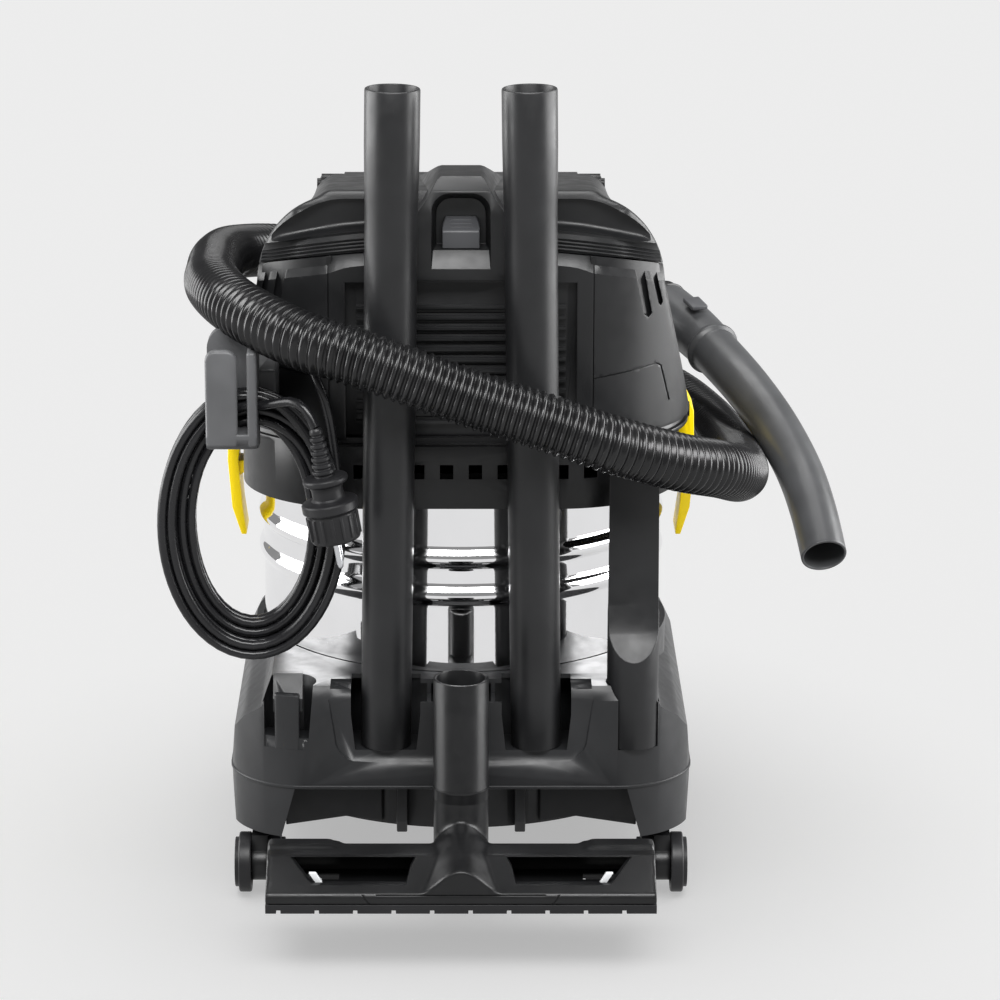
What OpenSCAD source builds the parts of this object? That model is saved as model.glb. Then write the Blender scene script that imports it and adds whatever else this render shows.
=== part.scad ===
// Wet and dry shop vacuum with parked accessories and a wound hose.
// The origin is on the floor, under the middle of everything but the hose and the cable. The parts are
// drawn around the axis of the container, and moved to that origin as one.
// The rear, where the accessories are parked, faces -Y, and +Z is up.

/* [Base] */
// Half of the width of the base across its rim
base_half_w = 175; // [172:1:178]
// Distance from the middle of the container to the flat rear face of the base
base_rear = 195; // [193:1:198]
// Distance from the middle of the container to the front of the base
base_front = 195; // [190:1:200]
// Height of the top of the base above the floor
base_top = 171; // [168:1:174]
// Diameter of a castor wheel
wheel_d = 46; // [44:1:47]

/* [Container] */
// Outer radius of the steel container
container_r = 155; // [154:0.5:156]
// Height of the rim of the container above the floor
container_top = 304; // [303:0.5:304]

/* [Head] */
// Half of the width of the head where it is widest
head_half_w = 175; // [174:0.5:176]
// Height of the lower edge of the head's collar
collar_bottom = 300; // [298:1:300]
// Wall thickness of the plastic shells
wall = 3; // [2.5:0.1:3.2]
// Distance from the middle of the container to the rear face of the head
head_rear = 150; // [149:0.5:151]
// Distance from the middle of the container to the front face of the head
head_front = 165; // [164:0.5:166]

/* [Accessories] */
// Length of one suction tube
tube_len = 499; // [480:1:505]
// Outer diameter of a suction tube at its socket end
tube_d = 40.7; // [40:0.1:41]
// Distance from the middle plane to the foot of each suction tube
tube_x = 56.5; // [56:0.5:57]
// Distance from the middle of the container back to the suction tubes
tube_y = 180; // [179.5:0.5:181]
// Width of the floor nozzle
nozzle_w = 285; // [270:1:300]

/* [Hose and cable] */
// Outer diameter of the hose
hose_d = 44; // [43:0.5:44]
// Diameter of the mains cable
cable_d = 7; // [6:0.5:7]

/* [Hidden] */
$fn = 96;
gap = 0.4;
fit = 0.05;
far = 1200;

// From the axis of the container to the origin
nozzle_rear = 318;
shift_y = (nozzle_rear - base_front) / 2;

// Container
bead_heights = [231, 260];
sheet_t = 1.2;

// Base
rim_z = 93;
leg_z = 52;
belly_floor = 48;
belly_wall = 3;
belly_r = container_r + 3.5 + belly_wall;
castor_rear = [153, -150];
castor_front = [132, 128];
trail = 18;
castor_r = wheel_d / 2;
hood_w = 12;
wheel_w = 12.5;
stem_r = 4.45;
axle_r = 3;
peg_r = 14.5;
peg_h = 40;
dock_z = 122;
rail_top = 154;
rail_y = base_rear + 15;
tool_x = 129;
tool_y = 178;
tool_len = 228;
tool_r = 19.3;
tongue_half_w = 10.5;

// Head
collar_half_w = head_half_w - 8;
collar_rear = head_rear + 8.5;
collar_front = head_front + 7;
collar_top = 348;
collar_corner = 95;
deck_z = 308.5;
deck_t = 4;
crown_r = 66;
crown_x = 86.5;
crown_z = 468;
deck_half_w = 114.5;
deck_top = 538;
rim_y = -126;
rim_top = 536;
seam_r = 860;
seam_top = 497;
seam_slope = 8;
panel_x = 100;
motor_y = 45;
cassette_w = 116;
cassette_bottom = 474;
cassette_rear = 156;
cassette_front = -20;
latch_axis = [head_half_w - 1.5, 0, 343];

// Carry handle
handle_axis = [0, 20, 512];
handle_slope = atan(0.2);
handle_reach = 118;
handle_half_w = 108;
handle_t = 15;
tray_z = 496;

// Suction tubes lean inwards towards their tops
tube_lean = atan(7 / 500);
tube_foot_d = 37.5;
tube_wall = 1.9;
socket_len = 40;
socket_r = tube_d / 2 - tube_wall;

// Floor nozzle
neck_y = -237;
neck_top = 193;
neck_d = 41;
nozzle_front = -248;
nozzle_low = 46;
strip_low = 39;
neck_r = 18.1;

// Wound hose, as points on its centre line from the cuff at the front to the handle
hose_route = [
    [0, 232, 333], [10, 282, 325], [52, 320, 312], [114, 312, 298], [172, 257, 288],
    [202, 172, 284], [214, 80, 286], [217, -10, 295], [212, -90, 309], [192, -158, 331],
    [159, -197, 347], [112, -221, 366], [60, -226, 385], [0, -226, 405], [-70, -226, 431],
    [-120, -211, 447], [-163, -168, 461], [-191, -100, 465], [-197, -20, 459], [-198, 60, 450],
    [-186, 130, 440], [-140, 192, 424], [-60, 218, 401], [20, 222, 380], [90, 219, 372],
    [140, 204, 374], [168, 180, 376]
];
handle_route = [
    [168, 180, 376], [190, 143, 368], [209, 102, 358], [229, 61, 343], [248, 24, 323],
    [264, -12, 298], [273, -48, 275], [279, -84, 250]
];
// Mains cable, from its gland to the hank and from the hank to the plug
lead_route = [[-112, -188, 420], [-108, -199, 416], [-102, -203, 404], [-98, -197, 390], [-97, -188, 376]];
tail_route = [[-136, -197, 388], [-128, -206, 396], [-117, -217, 399], [-108, -223, 391], [-106, -224, 380]];
hank_x = -155;
hank_z = 331.5;
hank_r = 71;
hank_drop = 71;
hank_band = 27;
hank_y = [-196, -170];
plug_top = [-106, -224, 380];
inlet_z = 333;
plug_tilt = 10;

// Rectangle from -half_w to half_w and from rear to front, with corners of radius r
module rounded_plan(half_w, rear, front, r) {
    square_w = half_w - r;
    translate([-half_w, rear + r])
        square([2 * half_w, front - rear - 2 * r]);
    translate([-square_w, rear])
        square([2 * square_w, front - rear]);
    for (x = [-square_w, square_w])
        for (y = [rear + r, front - r])
            translate([x, y])
                circle(r);
}

// Cuboid from its lowest to its highest corner
module block(low, high) {
    translate(low)
        cube([high.x - low.x, high.y - low.y, high.z - low.z]);
}

// Shape in the XZ plane, extruded along Y from y0 to y1
module along_y(y0, y1) {
    translate([0, y1, 0])
        rotate([90, 0, 0])
            linear_extrude(y1 - y0)
                children();
}

// Shape in the YZ plane, extruded along X from x0 to x1
module along_x(x0, x1) {
    translate([x0, 0, 0])
        rotate([90, 0, 90])
            linear_extrude(x1 - x0)
                children();
}

module both_sides() {
    children();
    mirror([1, 0, 0])
        children();
}

// Points on a Catmull-Rom curve through a route, with n steps between two points
function spline_point(p0, p1, p2, p3, t) =
    0.5 * (2 * p1 + (p2 - p0) * t + (2 * p0 - 5 * p1 + 4 * p2 - p3) * t * t
        + (3 * p1 - p0 - 3 * p2 + p3) * t * t * t);
function smooth_route(route, n) = [
    for (i = [0 : len(route) - 2])
        for (k = [0 : n - 1])
            spline_point(
                route[max(i - 1, 0)], route[i], route[i + 1], route[min(i + 2, len(route) - 1)], k / n
            ),
    route[len(route) - 1]
];
function unit(v) = v / norm(v);
function heading(path, i) = unit(path[min(i + 1, len(path) - 1)] - path[max(i - 1, 0)]);

// Closed tube around a path. radii holds one radius per point.
module swept(path, radii, sides) {
    rings = len(path);
    points = [
        for (i = [0 : rings - 1])
            let (
                t = heading(path, i),
                u = unit(cross(abs(t.z) > 0.9 ? [0, 1, 0] : [0, 0, 1], t)),
                v = cross(t, u)
            )
                for (k = [0 : sides - 1])
                    let (a = 360 * k / sides)
                        path[i] + radii[i] * (cos(a) * u + sin(a) * v)
    ];
    walls = [
        for (i = [0 : rings - 2])
            for (k = [0 : sides - 1])
                let (a = i * sides + k, b = i * sides + (k + 1) % sides)
                    each [[a, a + sides, b + sides], [a, b + sides, b]]
    ];
    first = [for (k = [0 : sides - 1]) k];
    last = [for (k = [sides - 1 : -1 : 0]) (rings - 1) * sides + k];
    polyhedron(points, concat(walls, [first, last]));
}

/* ---- Base ---- */

// Outside of the base, made smaller all round by inset
module base_form(inset) {
    w = base_half_w - inset;
    top = base_top - inset;
    bottom = leg_z - (inset > 0 ? 10 : 0);
    rear = -base_rear + inset;
    front = base_front - inset;
    intersection() {
        translate([0, 0, bottom])
            linear_extrude(top - bottom)
                union() {
                    intersection() {
                        rounded_plan(w, rear, front, 60 - inset);
                        translate([-w, rear])
                            square([2 * w, 200]);
                    }
                    intersection() {
                        rounded_plan(w, rear, front, 110 - inset);
                        translate([-w, -20])
                            square([2 * w, 300]);
                    }
                }
        along_y(rear - 1, front + 1)
            polygon([
                [-w + 3, bottom], [w - 3, bottom], [w, rim_z], [w - 3, 128], [w - 11, 141],
                [w - 25, 153], [w - 32, top], [-w + 32, top], [-w + 25, 153], [-w + 11, 141],
                [-w + 3, 128], [-w, rim_z]
            ]);
        along_x(-w - 1, w + 1)
            polygon([
                [rear + 3, bottom], [rear, rim_z], [rear, 161], [rear + 6, top], [front - 45, top],
                [front - 24, 150], [front - 4, 125], [front, rim_z], [front - 3, bottom]
            ]);
    }
}

module castor_boss() {
    translate([0, 0, leg_z + 1.2])
        cylinder(h = rim_z - leg_z, r = 10);
}

// Openings under the rim that leave a leg at each corner
module leg_windows() {
    along_y(-far, -80)
        polygon([[-136, leg_z - 1], [136, leg_z - 1], [125, rim_z - 1.5], [-125, rim_z - 1.5]]);
    along_y(80, far)
        polygon([[-96, leg_z - 1], [96, leg_z - 1], [88, rim_z - 1.5], [-88, rim_z - 1.5]]);
    along_x(-far, far)
        polygon([[-95, leg_z - 1], [82, leg_z - 1], [74, rim_z - 1.5], [-87, rim_z - 1.5]]);
}

// Pocket for the foot of a suction tube, open to the rear and to the top
module tube_pocket() {
    translate([tube_x, 0, 0])
        along_y(-far, -tube_y + 20.5)
            polygon([[-23, dock_z], [23, dock_z], [26, base_top - 22], [31, far], [-31, far], [-26, base_top - 22]]);
}

// Groove in the shape of an arch around the tongue that an accessory is pushed onto
module tongue_groove() {
    difference() {
        translate([tool_x, -tool_y, dock_z])
            cylinder(h = far, r = tool_r + 1);
        intersection() {
            translate([tool_x, -tool_y, 0])
                cylinder(h = far, r = peg_r);
            block([tool_x - tongue_half_w, -far, 0], [tool_x + tongue_half_w, 0, base_top - 8]);
        }
    }
}

// Solid corner that the groove is cut into
module tongue_block() {
    intersection() {
        base_form(0);
        translate([tool_x, -tool_y, dock_z - wall])
            cylinder(h = far, r = tool_r + 4);
    }
}

// T-shaped rail on the rear face that the neck of the floor nozzle hangs on
module parking_rail() {
    block([-4, -rail_y + 1, 104], [4, -base_rear + 4, rail_top]);
    block([-11, -rail_y, 104], [11, -rail_y + 3.5, rail_top]);
}

module base_shell() {
    color("#35363a")
        difference() {
            union() {
                difference() {
                    base_form(0);
                    base_form(wall + 0.5);
                    leg_windows();
                }
                intersection() {
                    base_form(1);
                    translate([0, 0, rim_z])
                        cylinder(h = wall, r = far);
                }
                intersection() {
                    base_form(1);
                    union() {
                        both_sides() {
                            block([tube_x - 34, -far, dock_z - wall], [tube_x + 34, -148, dock_z]);
                            block([tube_x - 34, -far, dock_z - wall], [tube_x - 31, -146, far]);
                            block([tube_x + 31, -far, dock_z - wall], [tube_x + 34, -146, far]);
                        }
                    }
                }
                both_sides()
                    tongue_block();
                translate([0, 0, belly_floor])
                    cylinder(h = base_top - belly_floor, r = belly_r);
                for (x = [-castor_rear.x, castor_rear.x])
                    translate([x, castor_rear.y, 0])
                        castor_boss();
                for (x = [-castor_front.x, castor_front.x])
                    translate([x, castor_front.y, 0])
                        castor_boss();
                parking_rail();
            }
            translate([0, 0, belly_floor + belly_wall])
                cylinder(h = far, r = container_r + 1);
            both_sides()
                tube_pocket();
            both_sides()
                tongue_groove();
            for (x = [-castor_rear.x, castor_rear.x])
                translate([x, castor_rear.y, 0])
                    cylinder(h = rim_z - 2, r = stem_r + fit);
            for (x = [-castor_front.x, castor_front.x])
                translate([x, castor_front.y, 0])
                    cylinder(h = rim_z - 2, r = stem_r + fit);
            screw_ring(belly_floor - 1, 2.2, belly_wall + 2);
        }
    color("#35363a")
        both_sides()
            translate([tube_x, -tube_y, dock_z - 1])
                rotate([0, -tube_lean, 0])
                    cylinder(h = peg_h, r = peg_r);
}

// Four holes or screws in the floor of the belly
module screw_ring(z, r, h) {
    for (a = [45 : 90 : 315])
        rotate([0, 0, a])
            translate([70, 0, z])
                cylinder(h = h, r = r, $fn = 32);
}

module base_screws() {
    color("silver") {
        screw_ring(belly_floor - 2.2, 4.2, 2.1);
        screw_ring(belly_floor - 0.2, 2.15, belly_wall + 0.1);
    }
}

/* ---- Castors ---- */

module castor_fork() {
    color("#2c2d30")
        difference() {
            union() {
                translate([0, 0, 46.5])
                    cylinder(h = 3.5, r = 9);
                translate([0, 0, 49])
                    cylinder(h = 38, r = stem_r);
                translate([-hood_w / 2, -trail, castor_r])
                    rotate([0, 90, 0])
                        cylinder(h = hood_w, r = 14);
                block([-hood_w / 2, -trail, castor_r - 14], [hood_w / 2, 0, castor_r + 14]);
                block([-hood_w / 2, -trail - 8, castor_r + 8], [hood_w / 2, 7, 47]);
            }
            translate([-far / 2, -trail, castor_r])
                rotate([0, 90, 0])
                    cylinder(h = far, r = axle_r + fit);
        }
}

// Half section of one wheel, from its inner face to its domed outer cap
module wheel_section() {
    difference() {
        union() {
            square([castor_r - 1.5, wheel_w - 3]);
            translate([0, 1.5])
                square([castor_r, wheel_w - 6]);
            translate([castor_r - 1.5, 1.5])
                circle(1.5, $fn = 32);
            translate([castor_r - 1.5, wheel_w - 4.5])
                circle(1.5, $fn = 32);
            square([castor_r - 4, wheel_w]);
        }
        translate([8, -1])
            square([castor_r - 13, 3]);
        translate([castor_r - 6.5, wheel_w - 0.8])
            square([1.2, 2]);
        translate([-far, -far / 2])
            square([far, far]);
    }
}

module castor_wheels() {
    color("#1f2022")
        translate([0, -trail, castor_r]) {
            for (side = [0, 1])
                mirror([side, 0, 0])
                    translate([hood_w / 2 + 0.5, 0, 0])
                        rotate([0, 90, 0])
                            rotate_extrude()
                                wheel_section();
            translate([-hood_w / 2 - 1, 0, 0])
                rotate([0, 90, 0])
                    cylinder(h = hood_w + 2, r = axle_r);
        }
}

module at_castor(place, side) {
    translate([side * place.x, place.y, 0])
        children();
}

/* ---- Container ---- */

// Half section of the container, made smaller by inset, with two rolled beads
module container_section(inset) {
    floor_z = belly_floor + belly_wall + 0.2;
    corner = 12;
    intersection() {
        union() {
            translate([0, floor_z + corner])
                square([container_r - inset, far]);
            translate([0, floor_z + inset])
                square([container_r - corner, far]);
            translate([container_r - corner, floor_z + corner])
                circle(corner - inset);
            for (z = bead_heights)
                translate([container_r - 2.4, z])
                    circle(6.5 - inset, $fn = 48);
        }
        square([far, container_top + inset]);
    }
}

module container() {
    color("#d8dadc")
        rotate_extrude($fn = 180) {
            difference() {
                container_section(0);
                container_section(sheet_t);
            }
            translate([container_r - 1.5, container_top - 1.5])
                circle(1.5, $fn = 32);
        }
}

/* ---- Head ---- */

// Outline of the crown seen from the rear, made smaller all round by inset
module crown_view(inset) {
    w = head_half_w - inset;
    r = crown_r - inset;
    polygon([
        [-w, 250], [w, 250], [w, 372], [crown_x + r, crown_z], [crown_x, crown_z + r],
        [-crown_x, crown_z + r], [-crown_x - r, crown_z], [-w, 372]
    ]);
    for (x = [-crown_x, crown_x])
        translate([x, crown_z])
            circle(r, $fn = 180);
}

// Outline of the raised deck that holds the carry handle
module deck_view(inset) {
    w = deck_half_w - inset;
    r = 26 - inset;
    translate([-w, 400])
        square([2 * w, deck_top - 26 - 400]);
    translate([-w + r, 400])
        square([2 * (w - r), deck_top - inset - 400]);
    for (x = [-w + r, w - r])
        translate([x, deck_top - 26])
            circle(r);
}

// Shape along the head that falls towards the front, from the rear rim
module falling(slope) {
    translate([0, rim_y, rim_top])
        rotate([-atan(slope), 0, 0])
            translate([0, -rim_y, -rim_top])
                along_y(-head_rear - 150, head_front + 150)
                    children();
}

// Outline of the head seen from the side: the rear rim is the highest line
module head_side_view(inset) {
    bottom = collar_top - 3;
    rear = -head_rear + inset;
    front = head_front - inset;
    polygon([
        [rear, bottom], [rear + 2, 488], [rear + 5, 514], [rear + 12, 526 - inset], [rear + 24, 536 - inset],
        [20, 521 - inset], [front - 45, 501 - inset], [front - 18, 486 - inset], [front - 4, 464], [front, bottom]
    ]);
}

module head_form(inset) {
    intersection() {
        translate([0, 0, collar_top - 1])
            linear_extrude(220)
                rounded_plan(head_half_w - inset, -head_rear + inset, head_front - inset, collar_corner - inset);
        union() {
            falling(0.2)
                crown_view(inset);
            falling(0.1)
                deck_view(inset);
        }
        along_x(-head_half_w - 1, head_half_w + 1)
            head_side_view(inset);
    }
}

// Space below the seam between the housing and the top cover, which curves and falls to the front
module below_seam(inset) {
    translate([0, -head_rear, seam_top])
        rotate([-seam_slope, 0, 0])
            translate([0, 0, -seam_r])
                rotate([90, 0, 0])
                    cylinder(h = far, r = seam_r - inset, center = true, $fn = 360);
}

// One window in the rear wall of the collar
module collar_windows() {
    for (i = [-4.5 : 1 : 4.5])
        translate([i * 21.5, 0, 0])
            block([-5, -far, 323], [5, -130, 334]);
}

module collar_form(inset) {
    linear_extrude(far)
        rounded_plan(collar_half_w - inset, -collar_rear + inset, collar_front - inset, collar_corner - inset);
}

// Motor well, filter chamber and ribs on the deck
module head_inside() {
    difference() {
        translate([0, motor_y, deck_z])
            cylinder(h = 26, r = 76);
        translate([0, motor_y, deck_z - 1])
            cylinder(h = 40, r = 73);
    }
    difference() {
        block([-56, -142, deck_z], [56, -32, 352]);
        block([-53, -139, deck_z - 1], [53, -35, 353]);
    }
    for (x = [-125, 125])
        for (y = [-60, 120])
            translate([x, y, deck_z])
                cylinder(h = 40, r = 6);
}

module head_housing() {
    color("#2f3033")
        difference() {
            union() {
                difference() {
                    head_form(wall + gap);
                    head_form(2 * wall + gap);
                }
                difference() {
                    translate([0, 0, collar_bottom])
                        intersection() {
                            collar_form(0);
                            cylinder(h = collar_top - collar_bottom, r = far);
                        }
                    translate([0, 0, collar_bottom - 1])
                        collar_form(wall);
                }
                difference() {
                    translate([0, 0, collar_top - wall])
                        linear_extrude(wall)
                            rounded_plan(head_half_w - 1, -head_rear - 2, head_front + 2, collar_corner);
                    translate([0, 0, collar_top - wall - 1])
                        linear_extrude(wall + 2)
                            rounded_plan(
                                head_half_w - 20, -head_rear + 16, head_front - 16, collar_corner - 18
                            );
                }
                translate([0, 0, deck_z])
                    linear_extrude(deck_t)
                        rounded_plan(
                            collar_half_w - 1, -collar_rear + 1, collar_front - 1, collar_corner - 1
                        );
                head_inside();
            }
            difference() {
                translate([0, 0, 400])
                    cylinder(h = far, r = far);
                below_seam(gap);
            }
            block([-panel_x + 4, -far, 352], [panel_x - 4, -130, far]);
            translate([0, motor_y, deck_z - 1])
                cylinder(h = deck_t + 2, r = 26);
            block([-44, -130, deck_z - 1], [44, -44, deck_z + deck_t + 1]);
            collar_windows();
            translate([0, far / 2 + 100, inlet_z])
                rotate([90, 0, 0])
                    cylinder(h = far / 2, r = 23.5);
            block([-75, 130, 372], [75, far, 443.4]);
            both_sides()
                latch_pocket();
        }
    color("#2f3033")
        both_sides()
            latch_ears();
}

// Pocket at the shoulder of the collar in which a latch hangs
module latch_pocket() {
    block([collar_half_w + 0.2, -24, 290], [far, 24, 362]);
    block([collar_half_w - 1, -24, 344], [far, 24, 362]);
}

// Ears on the collar that hold the pin of a latch
module latch_ears() {
    difference() {
        for (y = [-23.5, 20])
            block([collar_half_w - 1, y, 337], [latch_axis.x + 4, y + 3.5, collar_top]);
        translate([latch_axis.x, far / 2, latch_axis.z])
            rotate([90, 0, 0])
                cylinder(h = far, r = 2);
    }
}

// Boundary of a side panel seen from the side of the head
module side_panel_region() {
    block([panel_x + 0.6, -far, 360], [far, 70, far]);
}

// Arch-shaped grooves that let a cable or strap be clipped on at the rear corner
module strap_groove() {
    block([110, -far, 476], [142, -118, 482]);
    along_y(-far, -100)
        polygon([[132, 446], [139, 446], [134, 478], [127, 478]]);
    along_y(-far, -90)
        polygon([[147, 452], [151, 452], [145, 478], [140, 478]]);
}

module side_panel() {
    color("#34353a")
        difference() {
            head_form(0);
            head_form(wall);
            difference() {
                cylinder(h = far, r = far);
                side_panel_region();
            }
            difference() {
                translate([0, 0, 400])
                    cylinder(h = far, r = far);
                below_seam(gap + 1);
            }
            latch_pocket();
            strap_groove();
        }
}

module rear_grille() {
    color("#232427")
        difference() {
            union() {
                block([-panel_x + 4.3, -head_rear + 3, 352.3], [panel_x - 4.3, -head_rear + 7, 470]);
                block([-panel_x, -head_rear, 352.3], [-panel_x + 8, -head_rear + 4, 470]);
                block([panel_x - 8, -head_rear, 352.3], [panel_x, -head_rear + 4, 470]);
                for (z = [362 : 8 : 434])
                    block([-panel_x + 14, -head_rear, z], [panel_x - 14, -head_rear + 4, z + 3]);
                intersection() {
                    both_sides()
                        block([cassette_w / 2 + 1, -head_rear, 468], [panel_x, -head_rear + 4, far]);
                    below_seam(gap + 1);
                }
            }
            for (z = [365.5 : 8 : 429.5])
                block([-50, -far, z], [50, -head_rear + far, z + 3.5]);
        }
}

module top_cover() {
    color("#303135")
        difference() {
            union() {
                difference() {
                    head_form(0);
                    head_form(wall);
                    below_seam(0);
                }
                intersection() {
                    head_form(0);
                    union() {
                        handle_channel(2.4);
                        tray(0);
                    }
                }
            }
            block([-cassette_w / 2 - gap, -far, 300], [cassette_w / 2 + gap, cassette_front + gap, far]);
            handle_channel(0);
            tray(wall);
            handle_pins_form(4);
        }
}

// Moves a shape drawn around the origin to the pivot of the handle, sloping with the top
module along_handle() {
    translate(handle_axis)
        rotate([-handle_slope, 0, 0])
            children();
}

// Channel in the top cover that the folded carry handle lies in, wider all round by extra
module handle_channel(extra) {
    along_handle()
        translate([0, 0, -handle_t / 2 - 1 - extra])
            linear_extrude(60)
                difference() {
                    rounded_plan(handle_half_w + 2 + extra, -20 - extra, handle_reach + 2 + extra, 13);
                    rounded_plan(handle_half_w - 18 - extra, -40, handle_reach - 18 - extra, 10);
                }
}

// Flat tray sunk into the top, where small parts can be put down
module tray(inset) {
    block([-86 + inset, 30 + inset, tray_z - wall + inset], [86 - inset, 94 - inset, far]);
}

module front_panel() {
    color("#232427")
        difference() {
            union() {
                block([-74.6, head_front - 12, 372.4], [74.6, head_front - 3.5, 443]);
                block([-78, head_front - 15, 369], [78, head_front - 11.5, 447]);
            }
            translate([0, head_front, 412])
                rotate([90, 0, 0])
                    cylinder(h = 30, r = 5);
            block([-66, 0, 396], [-38, far, 428]);
            translate([52, head_front, 412])
                rotate([90, 0, 0])
                    cylinder(h = 30, r = 22);
        }
}

module head_seal() {
    color("#151516")
        translate([0, 0, container_top + 0.2])
            difference() {
                cylinder(h = deck_z - container_top - 0.3, r = container_r + 0.3);
                translate([0, 0, -1])
                    cylinder(h = 10, r = container_r - 9);
            }
}

module head_screws() {
    color("silver")
        for (x = [-125, 125])
            for (y = [-60, 120])
                translate([x, y, 348.6]) {
                    cylinder(h = 3, r = 4.5, $fn = 32);
                    translate([0, 0, 3])
                        cylinder(h = 1.5, r = 3, $fn = 6);
                }
}

/* ---- Filter cassette ---- */

// Bell-shaped rear face of the cassette, made smaller all round by inset
module cassette_face(inset) {
    side = [
        [cassette_w / 2 - inset, cassette_bottom + inset], [cassette_w / 2 - inset, 500 - inset / 2],
        [34 - inset, 523 - inset / 2], [20 - inset, 538 - inset / 2], [14 - inset / 2, 545 - inset]
    ];
    polygon(concat(side, [for (i = [len(side) - 1 : -1 : 0]) [-side[i].x, side[i].y]]));
}

// Cassette as a solid: a bell at the rear with a spine, and a piece of the top of the head
module cassette_form(inset) {
    w = cassette_w / 2 - inset;
    intersection() {
        along_y(-cassette_rear + inset, cassette_front - inset)
            cassette_face(inset);
        along_x(-w - 1, w + 1)
            polygon([
                [-far, 400], [-far, 546 - inset], [-100, 546 - inset], [cassette_front, 526 - inset],
                [cassette_front, 400]
            ]);
    }
    intersection() {
        head_form(inset);
        block([-w, -far, cassette_bottom + inset], [w, cassette_front - inset, far]);
    }
}

module arch(half_w, bottom, top) {
    translate([-half_w, bottom])
        square([2 * half_w, top - bottom - half_w * 0.6]);
    translate([-half_w * 0.4, bottom])
        square([half_w * 0.8, top - bottom]);
    for (x = [-half_w * 0.4, half_w * 0.4])
        translate([x, top - half_w * 0.6])
            circle(half_w * 0.6);
}

module filter_cassette() {
    color("#37383c")
        difference() {
            union() {
                cassette_form(0);
                block([-50, -136, 469], [50, -38, cassette_bottom + 1]);
            }
            difference() {
                cassette_form(wall);
                along_y(-far, -cassette_rear + 34.5)
                    arch(22.5, 400, 538);
            }
            intersection() {
                along_y(-far, -cassette_rear + 31.5)
                    arch(19.5, 492, 535);
                along_x(-far, far)
                    polygon([
                        [-far, 400], [-cassette_rear, 490], [-cassette_rear + 10, 499.7], [far, 499.7],
                        [far, far], [-far, far]
                    ]);
            }
            block([-40, -122, 460], [40, -48, cassette_bottom + wall + 1]);
        }
}

module cassette_button() {
    color("#7c7e82")
        difference() {
            union() {
                block([-14.5, -cassette_rear + 10, 500], [14.5, -cassette_rear + 26, 514]);
                along_x(-14.5, 14.5)
                    polygon([
                        [-cassette_rear + 10, 514], [-cassette_rear + 12, 517], [-cassette_rear + 24, 522],
                        [-cassette_rear + 26, 522], [-cassette_rear + 26, 514]
                    ]);
            }
            for (y = [12, 16, 20])
                block([-9, -cassette_rear + y, 518], [9, -cassette_rear + y + 1.6, 530]);
        }
}

module pleated_filter() {
    color("#e8e4da")
        difference() {
            block([-48, -134, 360], [48, -42, 469]);
            for (x = [-42 : 6 : 42])
                block([x - 1.2, -120, 350], [x + 1.2, -56, 460]);
        }
}

module filter_seal() {
    color("#1a1a1b")
        difference() {
            block([-51.5, -137.5, 352.3], [51.5, -38.5, 359.8]);
            block([-45, -131, 350], [45, -45, 365]);
        }
}

/* ---- Carry handle and latches ---- */

module carry_handle() {
    color("#2a2b2e")
        difference() {
            along_handle() {
                translate([0, 0, -handle_t / 2])
                    linear_extrude(handle_t)
                        difference() {
                            rounded_plan(handle_half_w, -40, handle_reach, 12);
                            rounded_plan(handle_half_w - 16, -60, handle_reach - 16, 6);
                            translate([-far / 2, -far])
                                square(far);
                        }
                both_sides()
                    translate([handle_half_w - 16, 0, 0])
                        rotate([0, 90, 0])
                            cylinder(h = 16, r = handle_t / 2);
            }
            handle_pins_form(4 + fit);
        }
}

module handle_pins_form(r) {
    both_sides()
        translate([handle_half_w - 19.5, handle_axis.y, handle_axis.z])
            rotate([0, 90, 0])
                cylinder(h = 23, r = r);
}

module handle_pins() {
    color("silver")
        handle_pins_form(4);
}

module latch() {
    color("#ffe000")
        difference() {
            union() {
                along_y(-19, 19)
                    polygon([
                        [collar_half_w + 1, 350], [collar_half_w + 9, 350], [collar_half_w + 14, 340],
                        [collar_half_w + 15, 300], [collar_half_w + 12, 262], [collar_half_w + 5, 240],
                        [collar_half_w + 1, 240], [collar_half_w + 4, 262], [collar_half_w + 7, 300],
                        [collar_half_w + 2, 326]
                    ]);
                along_y(-12, 12)
                    polygon([
                        [collar_half_w + 6, 286], [collar_half_w - 3, 292], [collar_half_w - 3, 297],
                        [collar_half_w + 8, 298]
                    ]);
            }
            translate([latch_axis.x, far / 2, latch_axis.z])
                rotate([90, 0, 0])
                    cylinder(h = far, r = 2 + fit);
            along_y(-far, far)
                polygon([[collar_half_w - 5, 296], [collar_half_w - 5, 302], [collar_half_w + 1, 302], [collar_half_w + 1, 298]]);
        }
}

module latch_pins() {
    color("silver")
        both_sides()
            translate([latch_axis.x, 23.5, latch_axis.z])
                rotate([90, 0, 0])
                    cylinder(h = 47, r = 2);
}

/* ---- Cable hook ---- */

module cable_hook() {
    color("#2a2b2e")
        difference() {
            union() {
                block([-187, -168, 352], [-149, -160, 420]);
                block([-176, -162, 366], [-134, -90, 412]);
                block([-187, -207, 352], [-149, -160, 372]);
                block([-187, -207, 352], [-165, -198, 434]);
                block([-157, -207, 352], [-149, -198, 434]);
                block([-187, -207, 418], [-149, -198, 434]);
            }
            translate([hank_x, 0, hank_z])
                difference() {
                    block([-far, -198, -far], [far, -168, far]);
                    translate([0, far / 2, 0])
                        rotate([90, 0, 0])
                            cylinder(h = far, r = hank_r - hank_band - 0.4);
                }
            head_form(-gap);
        }
}

/* ---- Controls ---- */

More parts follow.
